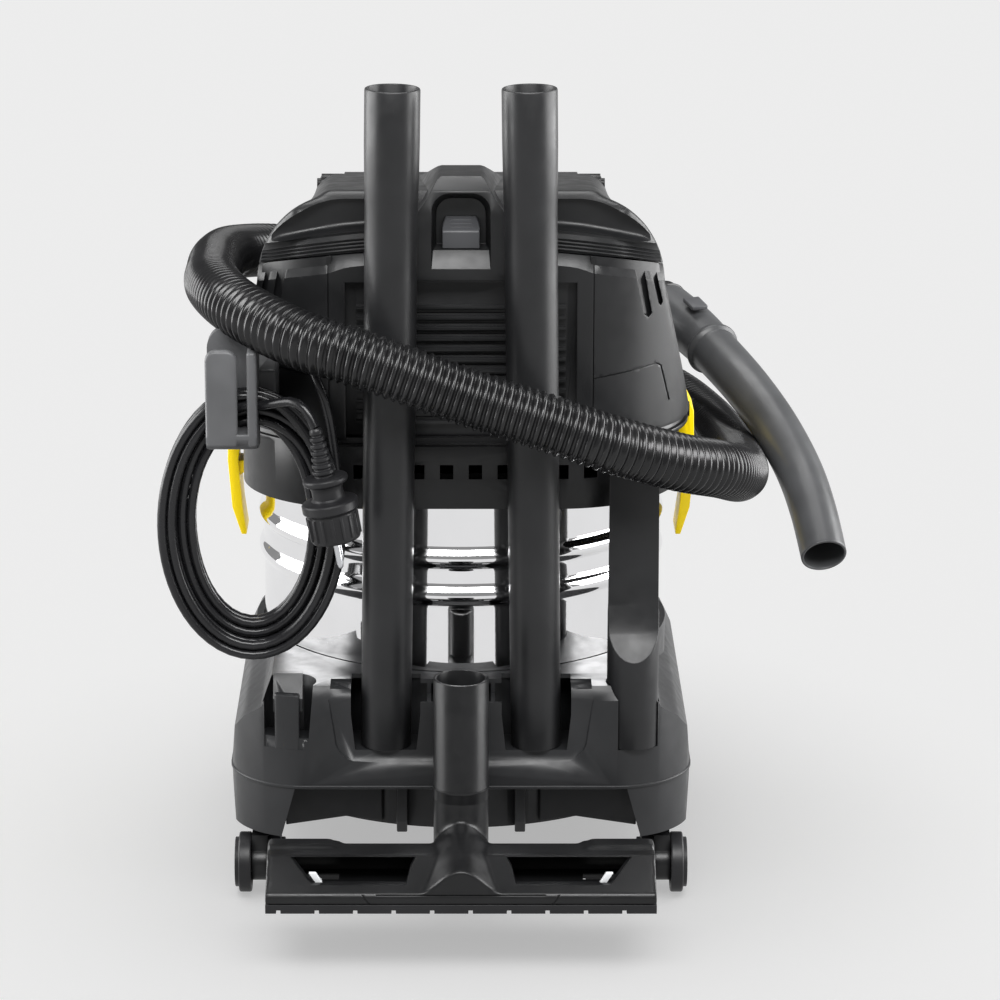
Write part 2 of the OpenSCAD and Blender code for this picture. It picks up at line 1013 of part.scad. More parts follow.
module rotary_switch() {
    color("#ffe000")
        translate([0, head_front - 3, 412])
            rotate([-90, 0, 0])
                difference() {
                    union() {
                        translate([0, 0, 0.4])
                            cylinder(h = 14, r = 19);
                        translate([0, 0, -14])
                            cylinder(h = 15, r = 4.95);
                    }
                    for (side = [0, 1])
                        mirror([side, 0, 0])
                            block([4, -13, 6], [22, 13, 20]);
                }
}

module filter_clean_button() {
    color("#7c7e82")
        block([-65.6, head_front - 11, 396.4], [-38.4, head_front + 1, 427.6]);
}

module appliance_socket() {
    color("#1c1d1f")
        translate([52, head_front - 4, 412])
            rotate([90, 0, 0])
                difference() {
                    cylinder(h = 24, r = 21.8);
                    translate([0, 0, -1])
                        cylinder(h = 16, r = 19.5);
                    for (x = [-9.5, 9.5])
                        translate([x, 0, 0])
                            cylinder(h = 22, r = 2.6, $fn = 32);
                }
}

module socket_flap() {
    color("#2a2b2e")
        difference() {
            union() {
                translate([52, head_front + 1.8, 412])
                    rotate([90, 0, 0])
                        cylinder(h = 4, r = 25);
                translate([30, head_front, 438])
                    rotate([0, 90, 0])
                        cylinder(h = 44, r = 2.6, $fn = 32);
                block([34, head_front - 2.2, 430], [70, head_front + 1.8, 438]);
            }
            translate([0, head_front, 438])
                rotate([0, 90, 0])
                    cylinder(h = far, r = 1, $fn = 32);
        }
}

/* ---- Motor and fan ---- */

module motor_stator() {
    color("#8a6a4a")
        translate([0, motor_y, 368])
            difference() {
                cylinder(h = 62, r = 44);
                translate([0, 0, -1])
                    cylinder(h = 64, r = 24.5);
                for (a = [45 : 90 : 315])
                    rotate([0, 0, a])
                        translate([52, 0, -1])
                            cylinder(h = 64, r = 14, $fn = 48);
            }
}

module motor_rotor() {
    color("#b07a45")
        translate([0, motor_y, 0]) {
            translate([0, 0, 368])
                cylinder(h = 60, r = 23.5);
            translate([0, 0, 330])
                cylinder(h = 122, r = 4);
            translate([0, 0, 432])
                cylinder(h = 12, r = 13);
            translate([0, 0, 333]) {
                cylinder(h = 2, r = 58);
                translate([0, 0, 14])
                    cylinder(h = 2, r = 58);
                for (a = [0 : 45 : 315])
                    rotate([0, 0, a])
                        translate([12, 6, 1])
                            rotate([0, 0, 30])
                                cube([42, 1.6, 14]);
            }
        }
}

module fan_housing() {
    color("#5b5d61")
        translate([0, motor_y, 0])
            difference() {
                translate([0, 0, 327])
                    cylinder(h = 34, r = 66);
                translate([0, 0, 329.5])
                    cylinder(h = 24, r = 63);
                translate([0, 0, 320])
                    cylinder(h = 20, r = 24);
                translate([0, 0, 350])
                    cylinder(h = 20, r = 9);
                for (a = [0 : 30 : 330])
                    rotate([0, 0, a])
                        translate([48, 0, 350])
                            cylinder(h = 20, r = 5, $fn = 32);
            }
}

module motor_shell() {
    color("#3b3c40")
        translate([0, motor_y, 0])
            difference() {
                translate([0, 0, 364.5])
                    cylinder(h = 96, r = 56);
                translate([0, 0, 361])
                    cylinder(h = 96, r = 53);
                for (a = [0 : 30 : 330])
                    rotate([0, 0, a])
                        block([40, -4, 440], [80, 4, 452]);
                translate([0, 0, 440])
                    cylinder(h = 14, r = 5);
            }
}

module motor_mounts() {
    color("#1a1a1b")
        for (a = [0 : 90 : 270])
            translate([0, motor_y, 313])
                rotate([0, 0, a])
                    translate([52, 0, 0])
                        difference() {
                            cylinder(h = 13.6, r = 8, $fn = 48);
                            translate([0, 0, -1])
                                cylinder(h = 20, r = 3, $fn = 32);
                        }
}

/* ---- Float ---- */

module float_cage() {
    color("#4a4c50")
        translate([0, motor_y, 0])
            difference() {
                union() {
                    translate([0, 0, 304])
                        cylinder(h = 4.2, r = 40);
                    translate([0, 0, 242])
                        cylinder(h = 62, r = 34);
                }
                translate([0, 0, 245])
                    cylinder(h = 56, r = 31);
                translate([0, 0, 290])
                    cylinder(h = 30, r = 22);
                for (a = [0 : 45 : 315])
                    rotate([0, 0, a])
                        block([20, -7, 252], [40, 7, 286]);
            }
}

module float_cup() {
    color("#f2f2ee")
        translate([0, motor_y, 0])
            difference() {
                translate([0, 0, 245.3])
                    cylinder(h = 31.7, r = 28);
                translate([0, 0, 240])
                    cylinder(h = 34, r = 25.5);
            }
}

module circuit_board() {
    color("#2e6b45")
        block([-66, 132, 360], [-28, 134, 440]);
    color("#1c1d1f") {
        block([-60, 124, 372], [-34, 132, 396]);
        block([-56, 126, 404], [-46, 132, 428]);
    }
}

/* ---- Hose ---- */

module inlet_socket() {
    color("#232427")
        translate([0, 0, inlet_z])
            rotate([-90, 0, 0])
                difference() {
                    union() {
                        translate([0, 0, collar_front + 0.2])
                            cylinder(h = 6, r = 30);
                        translate([0, 0, 157])
                            cylinder(h = 21, r = 23.3);
                    }
                    translate([0, 0, 140])
                        cylinder(h = far, r = 20.5);
                }
}

module hose_cuff() {
    color("#1c1d1f")
        translate([0, 0, inlet_z])
            rotate([-90, 0, 0])
                difference() {
                    union() {
                        translate([0, 0, 158])
                            cylinder(h = 34, r = 20.3);
                        translate([0, 0, 178.6])
                            cylinder(h = 12, r = 28);
                        translate([0, 0, 184])
                            cylinder(h = 48, r1 = 27, r2 = 24.5);
                    }
                    translate([0, 0, 140])
                        cylinder(h = 60, r = 17.5);
                }
}

module hose_tube() {
    path = smooth_route(hose_route, 2);
    color("#0c0c0d")
        swept(path, [for (p = path) hose_d / 2], 12);
}

module hose_handle() {
    path = smooth_route(handle_route, 3);
    steps = len(path) - 1;
    color("#2a2b2e")
        swept(path, [for (i = [0 : steps]) i < 5 ? 20 : i < 7 ? 21.5 : 19 - 1.5 * (i - 7) / (steps - 7)], 16);
}

module airflow_slider() {
    color("#85878b")
        translate([188, 140, 368])
            rotate([0, 12.9, -67])
                block([-9, -7, 20.6], [9, 7, 24.2]);
}

/* ---- Mains cable ---- */

module cable_gland() {
    color("#1c1d1f")
        difference() {
            translate([-112, -188, 420])
                rotate([-90, 0, 0])
                    cylinder(h = 54, r1 = 5, r2 = 9);
            head_form(-gap);
        }
}

module cable_lead() {
    path = smooth_route(lead_route, 2);
    color("#161617")
        swept(path, [for (p = path) cable_d / 2], 10);
}

module cable_tail() {
    path = smooth_route(tail_route, 2);
    color("#161617")
        swept(path, [for (p = path) cable_d / 2], 10);
}

module hank_outline(r) {
    circle(r);
    translate([0, -hank_drop])
        circle(r);
    translate([-r, -hank_drop])
        square([2 * r, hank_drop]);
}

module cable_hank() {
    color("#161617")
        translate([hank_x, 0, hank_z])
            along_y(hank_y[0], hank_y[1])
                difference() {
                    hank_outline(hank_r);
                    hank_outline(hank_r - hank_band);
                }
}

module plug_body() {
    color("#161617")
        translate(plug_top)
            rotate([0, 180 - plug_tilt, 0]) {
                cylinder(h = 36, r1 = 5, r2 = 9);
                translate([0, 0, 34])
                    cylinder(h = 8, r = 17);
                translate([0, 0, 42])
                    cylinder(h = 12, r = 12);
                translate([0, 0, 54])
                    cylinder(h = 10, r = 21);
                translate([0, 0, 64])
                    cylinder(h = 22, r = 18.5);
            }
}

module plug_pins() {
    color("silver")
        translate(plug_top)
            rotate([0, 180 - plug_tilt, 0])
                for (y = [-9.5, 9.5])
                    translate([0, y, 86]) {
                        cylinder(h = 17, r = 2.4, $fn = 32);
                        translate([0, 0, 17])
                            sphere(r = 2.4, $fn = 32);
                    }
}

/* ---- Parked accessories ---- */

module suction_tube() {
    foot_r = tube_foot_d / 2;
    color("#3a3b3f")
        translate([tube_x, -tube_y, dock_z + 0.3])
            rotate([0, -tube_lean, 0])
                rotate_extrude()
                    polygon([
                        [foot_r - tube_wall, 0], [foot_r, 0], [foot_r + 0.8, tube_len - socket_len - 40],
                        [tube_d / 2, tube_len - socket_len], [tube_d / 2, tube_len - 1],
                        [tube_d / 2 - 0.6, tube_len], [socket_r, tube_len],
                        [socket_r, tube_len - socket_len],
                        [foot_r - tube_wall, tube_len - socket_len - 40]
                    ]);
}

// Slope that flattens the crevice tool from its round foot to its thin blade
module blade_side(inset) {
    back = -tool_y + tool_r;
    polygon([
        [back - 2 * tool_r - 5, 100], [back + 5, 100], [back + 5, 300], [back - inset, 400],
        [back - 13 + inset, 400], [back - 16 + inset, 232], [back - 24 + inset, 210],
        [back - 2 * tool_r + inset, 191], [back - 2 * tool_r - 5, 186]
    ]);
}

module crevice_tool() {
    color("#303135")
        difference() {
            intersection() {
                translate([tool_x, -tool_y, dock_z + 0.3])
                    cylinder(h = tool_len, r = tool_r);
                along_x(tool_x - 40, tool_x + 40)
                    blade_side(0);
            }
            intersection() {
                translate([tool_x, -tool_y, dock_z])
                    cylinder(h = tool_len + 2, r = tool_r - 2);
                along_x(tool_x - 40, tool_x + 40)
                    blade_side(2);
            }
        }
}

// Floor nozzle body: a wide shell, open below, with windows on its long face
module nozzle_body() {
    half = nozzle_w / 2;
    color("#2b2c2f")
        difference() {
            union() {
                along_x(-half, half)
                    polygon([
                        [-nozzle_rear, nozzle_low], [-nozzle_rear, 53], [-285, 72], [-262, 74], [-251, 68],
                        [nozzle_front, 60], [nozzle_front, nozzle_low]
                    ]);
                translate([0, neck_y, 60])
                    cylinder(h = neck_top - 60, r = neck_d / 2);
                translate([0, neck_y, 108])
                    cylinder(h = 2, r = neck_d / 2 + 0.6);
                along_y(-306, neck_y)
                    polygon([[-34, 60], [34, 60], [22, 78], [17, 90], [-17, 90], [-22, 78]]);
                block([-16, neck_y + 10, 108], [16, -base_rear - 10, 158]);
            }
            along_x(-half + 3, half - 3)
                polygon([
                    [-nozzle_rear + 3, 30], [-nozzle_rear + 3, 51], [-285, 68.5], [-263, 70.5], [-254, 65],
                    [nozzle_front - 3, 59], [nozzle_front - 3, 30]
                ]);
            translate([0, neck_y, 66])
                cylinder(h = neck_top, r = neck_r - 1.6);
            translate([0, neck_y, neck_top - socket_len])
                cylinder(h = socket_len + 1, r = neck_r);
            both_sides()
                along_y(-far, -284)
                    polygon([[39, 57.5], [109, 57.5], [125, 69], [33, 69]]);
            block([-12, -rail_y - 0.8, 100], [12, -rail_y + 4.3, rail_top + 0.3]);
            block([-5, -rail_y - 0.8, 100], [5, -base_rear, rail_top + 0.3]);
        }
}

module nozzle_strips() {
    half = nozzle_w / 2;
    color("#1a1a1b")
        difference() {
            union() {
                block([-half, -nozzle_rear, strip_low], [half, -nozzle_rear + 5, nozzle_low - 0.2]);
                block([-half, nozzle_front - 5, strip_low], [half, nozzle_front, nozzle_low - 0.2]);
            }
            for (x = [-133 : 28 : 147])
                block([x - 1.6, -far, 20], [x + 1.6, 0, strip_low + 2.5]);
        }
}

module nozzle_clips() {
    color("#c9cbcd")
        both_sides()
            along_y(-304, -300)
                polygon([[99, 54], [104, 54], [111, 65], [106, 65]]);
}

// Moves a part from the axis of the container to the origin
module placed() {
    translate([0, shift_y, 0])
        children();
}

placed() base_shell();
placed() container();
placed() base_screws();
placed() at_castor(castor_rear, -1) castor_fork();  // castor_fork_rear_left
placed() at_castor(castor_rear, 1) castor_fork();  // castor_fork_rear_right
placed() at_castor(castor_front, -1) castor_fork();  // castor_fork_front_left
placed() at_castor(castor_front, 1) castor_fork();  // castor_fork_front_right
placed() at_castor(castor_rear, -1) castor_wheels();  // castor_wheels_rear_left
placed() at_castor(castor_rear, 1) castor_wheels();  // castor_wheels_rear_right
placed() at_castor(castor_front, -1) castor_wheels();  // castor_wheels_front_left
placed() at_castor(castor_front, 1) castor_wheels();  // castor_wheels_front_right
placed() head_housing();
placed() mirror([1, 0, 0]) side_panel();  // side_panel_left
placed() side_panel();  // side_panel_right
placed() rear_grille();
placed() top_cover();
placed() front_panel();
placed() head_seal();
placed() head_screws();
placed() filter_cassette();
placed() cassette_button();
placed() pleated_filter();
placed() filter_seal();
placed() carry_handle();
placed() handle_pins();
placed() mirror([1, 0, 0]) latch();  // latch_left
placed() latch();  // latch_right
placed() latch_pins();
placed() cable_hook();
placed() rotary_switch();
placed() filter_clean_button();
placed() appliance_socket();
placed() socket_flap();
placed() motor_stator();
placed() motor_rotor();
placed() motor_shell();
placed() fan_housing();
placed() motor_mounts();
placed() float_cage();
placed() float_cup();
placed() circuit_board();
placed() inlet_socket();
placed() hose_cuff();
placed() hose_tube();
placed() hose_handle();
placed() airflow_slider();
placed() cable_gland();
placed() cable_lead();
placed() cable_hank();
placed() cable_tail();
placed() plug_body();
placed() plug_pins();
placed() mirror([1, 0, 0]) suction_tube();  // suction_tube_left
placed() suction_tube();  // suction_tube_right
placed() crevice_tool();
placed() nozzle_body();
placed() nozzle_strips();
placed() nozzle_clips();
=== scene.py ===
"""Looks of the shop vacuum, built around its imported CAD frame. Pieces are made in millimetres around
the axis of the container, and dress() moves them to the origin of the frame."""

import bpy
import bmesh
import math
from mathutils import Matrix, Vector, noise


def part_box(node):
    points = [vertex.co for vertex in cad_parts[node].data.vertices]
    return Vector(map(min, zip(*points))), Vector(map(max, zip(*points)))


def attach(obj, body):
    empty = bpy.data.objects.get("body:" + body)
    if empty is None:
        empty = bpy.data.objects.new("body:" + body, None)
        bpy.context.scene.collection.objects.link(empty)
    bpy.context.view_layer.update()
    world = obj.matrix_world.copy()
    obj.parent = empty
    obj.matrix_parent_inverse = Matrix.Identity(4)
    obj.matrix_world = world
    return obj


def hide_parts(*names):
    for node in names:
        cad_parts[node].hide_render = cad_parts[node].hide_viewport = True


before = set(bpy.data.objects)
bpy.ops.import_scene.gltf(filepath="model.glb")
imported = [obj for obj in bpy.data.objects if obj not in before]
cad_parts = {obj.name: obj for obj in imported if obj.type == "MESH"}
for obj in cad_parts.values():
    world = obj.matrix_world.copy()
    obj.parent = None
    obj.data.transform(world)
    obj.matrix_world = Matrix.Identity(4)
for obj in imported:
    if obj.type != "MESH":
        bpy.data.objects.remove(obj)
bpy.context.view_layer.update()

MM = 0.001
CAN_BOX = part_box("container")
AXIS = Vector((0, (CAN_BOX[0][1] + CAN_BOX[1][1]) / 2, 0))  # axis of the container, in metres


def span(node):
    """Lowest and highest corner of a CAD node, in millimetres from the axis of the container."""
    low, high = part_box(node)
    return (Vector(low) - AXIS) / MM, (Vector(high) - AXIS) / MM


# ---- Places and sizes taken from the frame ----
CAN_LOW, CAN_HIGH = span("container")
TUBE_LOW, TUBE_HIGH = span("suction_tube_right")
NOZZLE_LOW, NOZZLE_HIGH = span("nozzle_body")
HANK_LOW, HANK_HIGH = span("cable_hank")
BASE_HIGH = span("base_shell")[1]
STRIPS_HIGH = span("nozzle_strips")[1]
CAN_R = 155
BASE_PLAN_REAR = -195
TUBE_Y = (TUBE_LOW.y + TUBE_HIGH.y) / 2
HOSE_D = 44
CABLE_D = 7

# ---- Materials ----


def material(name, colour, rough, metallic=0.0, grain=0.0006, bump=0.03, tint=0.25, scuff=0.06):
    """Moulded or metal surface with fine grain, broad tint changes and uneven roughness."""
    mat = bpy.data.materials.new(name)
    mat.use_nodes = True
    nodes, links = mat.node_tree.nodes, mat.node_tree.links
    shader = nodes["Principled BSDF"]
    shader.inputs["Metallic"].default_value = metallic
    shader.inputs["Specular IOR Level"].default_value = 0.5 if metallic else 0.35
    coords = nodes.new("ShaderNodeTexCoord")

    def noise_node(size, detail):
        node = nodes.new("ShaderNodeTexNoise")
        node.inputs["Scale"].default_value = 1 / size
        node.inputs["Detail"].default_value = detail
        links.new(coords.outputs["Object"], node.inputs["Vector"])
        return node

    broad = noise_node(0.06, 4)
    ramp = nodes.new("ShaderNodeValToRGB")
    ramp.color_ramp.elements[0].position = 0.3
    ramp.color_ramp.elements[1].position = 0.72
    ramp.color_ramp.elements[0].color = [c * (1 - tint) for c in colour] + [1]
    ramp.color_ramp.elements[1].color = [min(1, c * (1 + tint)) for c in colour] + [1]
    links.new(broad.outputs["Fac"], ramp.inputs["Fac"])
    links.new(ramp.outputs["Color"], shader.inputs["Base Color"])
    wear = noise_node(0.012, 6)
    spread = nodes.new("ShaderNodeMapRange")
    spread.inputs["From Min"].default_value = 0.3
    spread.inputs["From Max"].default_value = 0.7
    spread.inputs["To Min"].default_value = max(0.02, rough - scuff)
    spread.inputs["To Max"].default_value = rough + scuff
    links.new(wear.outputs["Fac"], spread.inputs["Value"])
    links.new(spread.outputs["Result"], shader.inputs["Roughness"])
    fine = noise_node(grain, 3)
    relief = nodes.new("ShaderNodeBump")
    relief.inputs["Strength"].default_value = bump
    relief.inputs["Distance"].default_value = 0.0004
    links.new(fine.outputs["Fac"], relief.inputs["Height"])
    links.new(relief.outputs["Normal"], shader.inputs["Normal"])
    return mat


SHELL = material("dark_shell_plastic", (0.015, 0.0154, 0.0165), 0.38, bump=0.06)
HEAD = material("head_plastic", (0.009, 0.0092, 0.0098), 0.36, bump=0.06)
TRIM = material("black_trim_plastic", (0.006, 0.0061, 0.0066), 0.34, bump=0.06)
TUBE = material("tube_plastic", (0.011, 0.0112, 0.0120), 0.38, bump=0.06)
# Painted light: the grip is the same black plastic as the body, made paler to stand in for the light that
# falls on it.
GRIP_PAINTED_LIGHT = material("grip_plastic_painted_light", (0.050, 0.051, 0.053), 0.36, bump=0.06)
# Painted light: the hook is the same black plastic as the body, made paler to stand in for the light that
# falls on it.
HOOK_PAINTED_LIGHT = material("hook_plastic_painted_light", (0.075, 0.076, 0.079), 0.40, bump=0.06)
HOSE = material("hose_plastic", (0.007, 0.007, 0.0075), 0.24, grain=0.001, bump=0.01, scuff=0.03)
RUBBER = material("black_rubber", (0.009, 0.009, 0.010), 0.42, bump=0.10)
CABLE = material("cable_rubber", (0.009, 0.009, 0.010), 0.26, bump=0.05)
STEEL = material("polished_steel", (0.86, 0.86, 0.87), 0.045, 1.0, 0.003, 0.01, 0.03, scuff=0.02)
BRIGHT = material("turned_steel", (0.62, 0.63, 0.65), 0.22, 1.0, 0.0008, 0.08, 0.06)
YELLOW = material("yellow_plastic", (0.93, 0.68, 0.0), 0.34, bump=0.06, tint=0.05)
GREY = material("grey_plastic", (0.055, 0.056, 0.060), 0.40, bump=0.10, tint=0.10)
PALE = material("pale_plastic", (0.60, 0.61, 0.62), 0.35, bump=0.06, tint=0.06)
COPPER = material("copper_windings", (0.50, 0.22, 0.08), 0.35, 1.0, 0.0004, 0.4, 0.2)
PAPER = material("filter_paper", (0.76, 0.73, 0.64), 0.85, grain=0.0005, bump=0.5, tint=0.06)
BOARD = material("circuit_board", (0.03, 0.16, 0.07), 0.4, grain=0.002, bump=0.2, tint=0.2)
WHITE = material("float_plastic", (0.75, 0.75, 0.72), 0.45, bump=0.05, tint=0.04)

# ---- Mesh helpers ----


def new_object(name, vertices, faces):
    """Mesh object from vertices in millimetres."""
    mesh = bpy.data.meshes.new(name)
    mesh.from_pydata([Vector(v) * MM for v in vertices], [], faces)
    mesh.update()
    obj = bpy.data.objects.new(name, mesh)
    bpy.context.collection.objects.link(obj)
    return obj


def outward(obj):
    """Turns all faces outwards."""
    form = bmesh.new()
    form.from_mesh(obj.data)
    bmesh.ops.recalc_face_normals(form, faces=form.faces)
    form.to_mesh(obj.data)
    form.free()
    return obj


def apply_modifiers(obj):
    """Replaces the mesh by its modified shape."""
    depsgraph = bpy.context.evaluated_depsgraph_get()
    mesh = bpy.data.meshes.new_from_object(obj.evaluated_get(depsgraph))
    obj.modifiers.clear()
    old = obj.data
    obj.data = mesh
    bpy.data.meshes.remove(old)
    return obj


def loft(name, sections):
    """Solid over sections that are closed loops with the same number of points."""
    count = len(sections[0])
    last = (len(sections) - 1) * count
    faces = []
    for start in range(0, last, count):
        for k in range(count):
            n = (k + 1) % count
            faces.append((start + k, start + n, start + count + n, start + count + k))
    faces.append(tuple(reversed(range(count))))
    faces.append(tuple(last + k for k in range(count)))
    return outward(new_object(name, [p for ring in sections for p in ring], faces))


def lathe(name, profile, segments=128, closed=True):
    """Turns a profile of (radius, height) points around the Z axis."""
    rings = []
    for k in range(segments):
        a = math.tau * k / segments
        rings.append([(r * math.cos(a), r * math.sin(a), z) for r, z in profile])
    return loft_strip(name, rings, closed)


def loft_strip(name, rings, close_profile):
    """Skin over profiles that stand round a full turn."""
    count = len(rings[0])
    faces = []
    for i in range(len(rings)):
        j = (i + 1) % len(rings)
        for k in range(count if close_profile else count - 1):
            n = (k + 1) % count
            faces.append((i * count + k, j * count + k, j * count + n, i * count + n))
    obj = outward(new_object(name, [p for ring in rings for p in ring], faces))
    form = bmesh.new()
    form.from_mesh(obj.data)
    bmesh.ops.remove_doubles(form, verts=form.verts, dist=1e-6)
    bmesh.ops.recalc_face_normals(form, faces=form.faces)
    form.to_mesh(obj.data)
    form.free()
    return obj


def prism(name, outline, axis, start, end):
    """Outline extruded along an axis. Points are (y, z) for x, (x, z) for y and (x, y) for z."""
    place = {
        "x": lambda p, t: (t, p[0], p[1]),
        "y": lambda p, t: (p[0], t, p[1]),
        "z": lambda p, t: (p[0], p[1], t),
    }[axis]
    return loft(name, [[place(p, t) for p in outline] for t in (start, end)])


def box(name, low, high):
    """Block between two corners."""
    corners = [(low[0], low[1]), (high[0], low[1]), (high[0], high[1]), (low[0], high[1])]
    return prism(name, corners, "z", low[2], high[2])


def arc(centre, r, start, end, steps):
    """Points on an arc, with its angles in degrees."""
    return [
        (
            centre[0] + r * math.cos(math.radians(start + (end - start) * i / steps)),
            centre[1] + r * math.sin(math.radians(start + (end - start) * i / steps)),
        )
        for i in range(steps + 1)
    ]


def rounded_box_outline(x0, y0, x1, y1, r, steps=6):
    """Rectangle with rounded corners."""
    return (
        arc((x1 - r, y1 - r), r, 0, 90, steps)
        + arc((x0 + r, y1 - r), r, 90, 180, steps)
        + arc((x0 + r, y0 + r), r, 180, 270, steps)
        + arc((x1 - r, y0 + r), r, 270, 360, steps)
    )


def combine(obj, others, operation):
    """Boolean of a piece with helper shapes, which are used up."""
    for other in others:
        step = obj.modifiers.new("cut", "BOOLEAN")
        step.operation = operation
        step.solver = "MANIFOLD"
        step.object = other
    apply_modifiers(obj)
    for other in others:
        bpy.data.objects.remove(other)
    return obj


def cut(obj, *others):
    """Cuts shapes out of a piece."""
    return combine(obj, others, "DIFFERENCE")


def join(obj, *others):
    """Joins shapes to a piece."""
    return combine(obj, others, "UNION")


def keep(obj, *others):
    """Keeps what a piece has in common with shapes."""
    return combine(obj, others, "INTERSECT")


def bevel(obj, width, segments=2, angle=32):
    """Rounds the edges that are sharper than an angle in degrees."""
    step = obj.modifiers.new("edges", "BEVEL")
    step.width = width * MM
    step.segments = segments
    step.limit_method = "ANGLE"
    step.angle_limit = math.radians(angle)
    step.use_clamp_overlap = True
    step.harden_normals = False
    return apply_modifiers(obj)


def soften(obj, voxel, rounds):
    """Rounds a shape off all over, like a moulding."""
    step = obj.modifiers.new("even", "REMESH")
    step.mode = "VOXEL"
    step.voxel_size = voxel * MM
    apply_modifiers(obj)
    step = obj.modifiers.new("soften", "SMOOTH")
    step.factor = 0.6
    step.iterations = rounds
    return apply_modifiers(obj)


def dress(obj, mat, body, *nodes, angle=35):
    """Gives a piece its material and its body, and hides the CAD nodes that it stands for."""
    obj.data.materials.clear()
    obj.data.materials.append(mat)
    obj.data.transform(Matrix.Translation(AXIS))
    if obj.type == "MESH":
        obj.data.shade_smooth()
        obj.data.set_sharp_from_angle(angle=math.radians(angle))
    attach(obj, body)
    if nodes:
        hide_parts(*nodes)
    return obj


def from_node(name, node):
    """Copy of a CAD node's mesh, with its flat faces joined up again."""
    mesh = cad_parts[node].data.copy()
    mesh.transform(Matrix.Translation(-AXIS))
    obj = bpy.data.objects.new(name, mesh)
    bpy.context.collection.objects.link(obj)
    form = bmesh.new()
    form.from_mesh(mesh)
    bmesh.ops.remove_doubles(form, verts=form.verts, dist=2e-6)
    flat = math.radians(1)
    bmesh.ops.dissolve_limit(form, angle_limit=flat, verts=form.verts, edges=form.edges)
    form.to_mesh(mesh)
    form.free()
    return obj


def smooth_path(points, steps):
    """Points on a Catmull-Rom curve through a route."""
    route = [Vector(p) for p in points]
    path = []
    for i in range(len(route) - 1):
        a, b, c, d = route[max(i - 1, 0)], route[i], route[i + 1], route[min(i + 2, len(route) - 1)]
        bend, twist = 2 * a - 5 * b + 4 * c - d, 3 * b - a - 3 * c + d
        for k in range(steps):
            t = k / steps
            path.append(0.5 * (2 * b + (c - a) * t + bend * t * t + twist * t**3))
    path.append(route[-1])
    return path


def even_path(path, pitch):
    """The same path, with points a pitch apart."""
    lengths = [0.0]
    for a, b in zip(path, path[1:]):
        lengths.append(lengths[-1] + (b - a).length)
    count = max(2, round(lengths[-1] / pitch))
    result = []
    i = 0
    for k in range(count + 1):
        s = lengths[-1] * k / count
        while i < len(lengths) - 2 and lengths[i + 1] < s:
            i += 1
        t = (s - lengths[i]) / (lengths[i + 1] - lengths[i])
        result.append(path[i].lerp(path[i + 1], min(1, max(0, t))))
    return result


def frames_along(path):
    """Tangent and two normals at each point, turning as little as possible."""
    result = []
    normal = None
    for i, point in enumerate(path):
        tangent = (path[min(i + 1, len(path) - 1)] - path[max(i - 1, 0)]).normalized()
        if normal is None:
            normal = tangent.cross(Vector((0, 0, 1))).normalized()
        normal = (normal - tangent * normal.dot(tangent)).normalized()
        result.append((point, tangent, normal, tangent.cross(normal)))
    return result


def circle_round(point, across, up, r, sides):
    """Circle of points round a place on a path."""
    turns = [math.tau * k / sides for k in range(sides)]
    return [point + (across * math.cos(a) + up * math.sin(a)) * r for a in turns]


def path_length(path):
    """Length along a path."""
    return sum((b - a).length for a, b in zip(path, path[1:]))


# ---- Camera, floor and lights ----


CAMERA_PLACE = Vector((0, -3.122, 1.140))  # metres from the axis of the container
CAMERA_DOWN = 15.7  # degrees below level
PIECES_MIDDLE = (0, -0.1, 0.5)  # where the high lights point


def camera():
    """Long lens that looks down a little at the rear."""
    data = bpy.data.cameras.new("camera")
    data.lens = 148.3
    data.sensor_width = 36
    data.shift_x = 0.039
    data.clip_end = 20
    obj = bpy.data.objects.new("camera", data)
    obj.location = AXIS + CAMERA_PLACE
    obj.rotation_euler = (math.radians(90 - CAMERA_DOWN), 0, 0)
    bpy.context.collection.objects.link(obj)
    bpy.context.scene.camera = obj


def area_light(name, place, target, size, radiance):
    """Softbox that lights the pieces and leaves the floor alone."""
    data = bpy.data.lights.new(name, "AREA")
    data.shape = "RECTANGLE"
    data.size, data.size_y = size
    data.energy = radiance * math.pi * size[0] * size[1]
    obj = bpy.data.objects.new(name, data)
    obj.location = AXIS + Vector(place)
    obj.rotation_euler = (Vector(target) - Vector(place)).to_track_quat("-Z", "Y").to_euler()
    bpy.context.collection.objects.link(obj)
    obj.light_linking.receiver_collection = bpy.data.collections["not_lit_by_boxes"]


def floor():
    """Wide pale floor. It glows a little, so that it stays even out to the far edge of the view."""
    wide, near, distant = 20000, -12000, 28000
    corners = [(-wide, near, 0), (wide, near, 0), (wide, distant, 0), (-wide, distant, 0)]
    obj = new_object("floor", corners, [(0, 1, 2, 3)])
    mat = material("pale_floor", (0.62, 0.62, 0.62), 0.8, bump=0.0, tint=0.0)
    shader = mat.node_tree.nodes["Principled BSDF"]
    shader.inputs["Specular IOR Level"].default_value = 0.0
    shader.inputs["Emission Color"].default_value = (1, 1, 1, 1)
    shader.inputs["Emission Strength"].default_value = 0.415
    obj.data.materials.append(mat)
    bpy.data.collections.new("lit_by_sun").objects.link(obj)
    apart = bpy.data.collections.new("not_lit_by_boxes")
    apart.objects.link(obj)
    apart.collection_objects[0].light_linking.link_state = "EXCLUDE"


def floor_sun():
    """Wide soft light from above that only the floor takes, for the shadow under the object."""
    data = bpy.data.lights.new("shadow_sun", "SUN")
    data.energy = 1.3
    data.angle = math.radians(70)
    sun = bpy.data.objects.new("shadow_sun", data)
    sun.rotation_euler = Vector((0, -0.12, -1)).to_track_quat("-Z", "Y").to_euler()
    bpy.context.collection.objects.link(sun)
    sun.light_linking.receiver_collection = bpy.data.collections["lit_by_sun"]


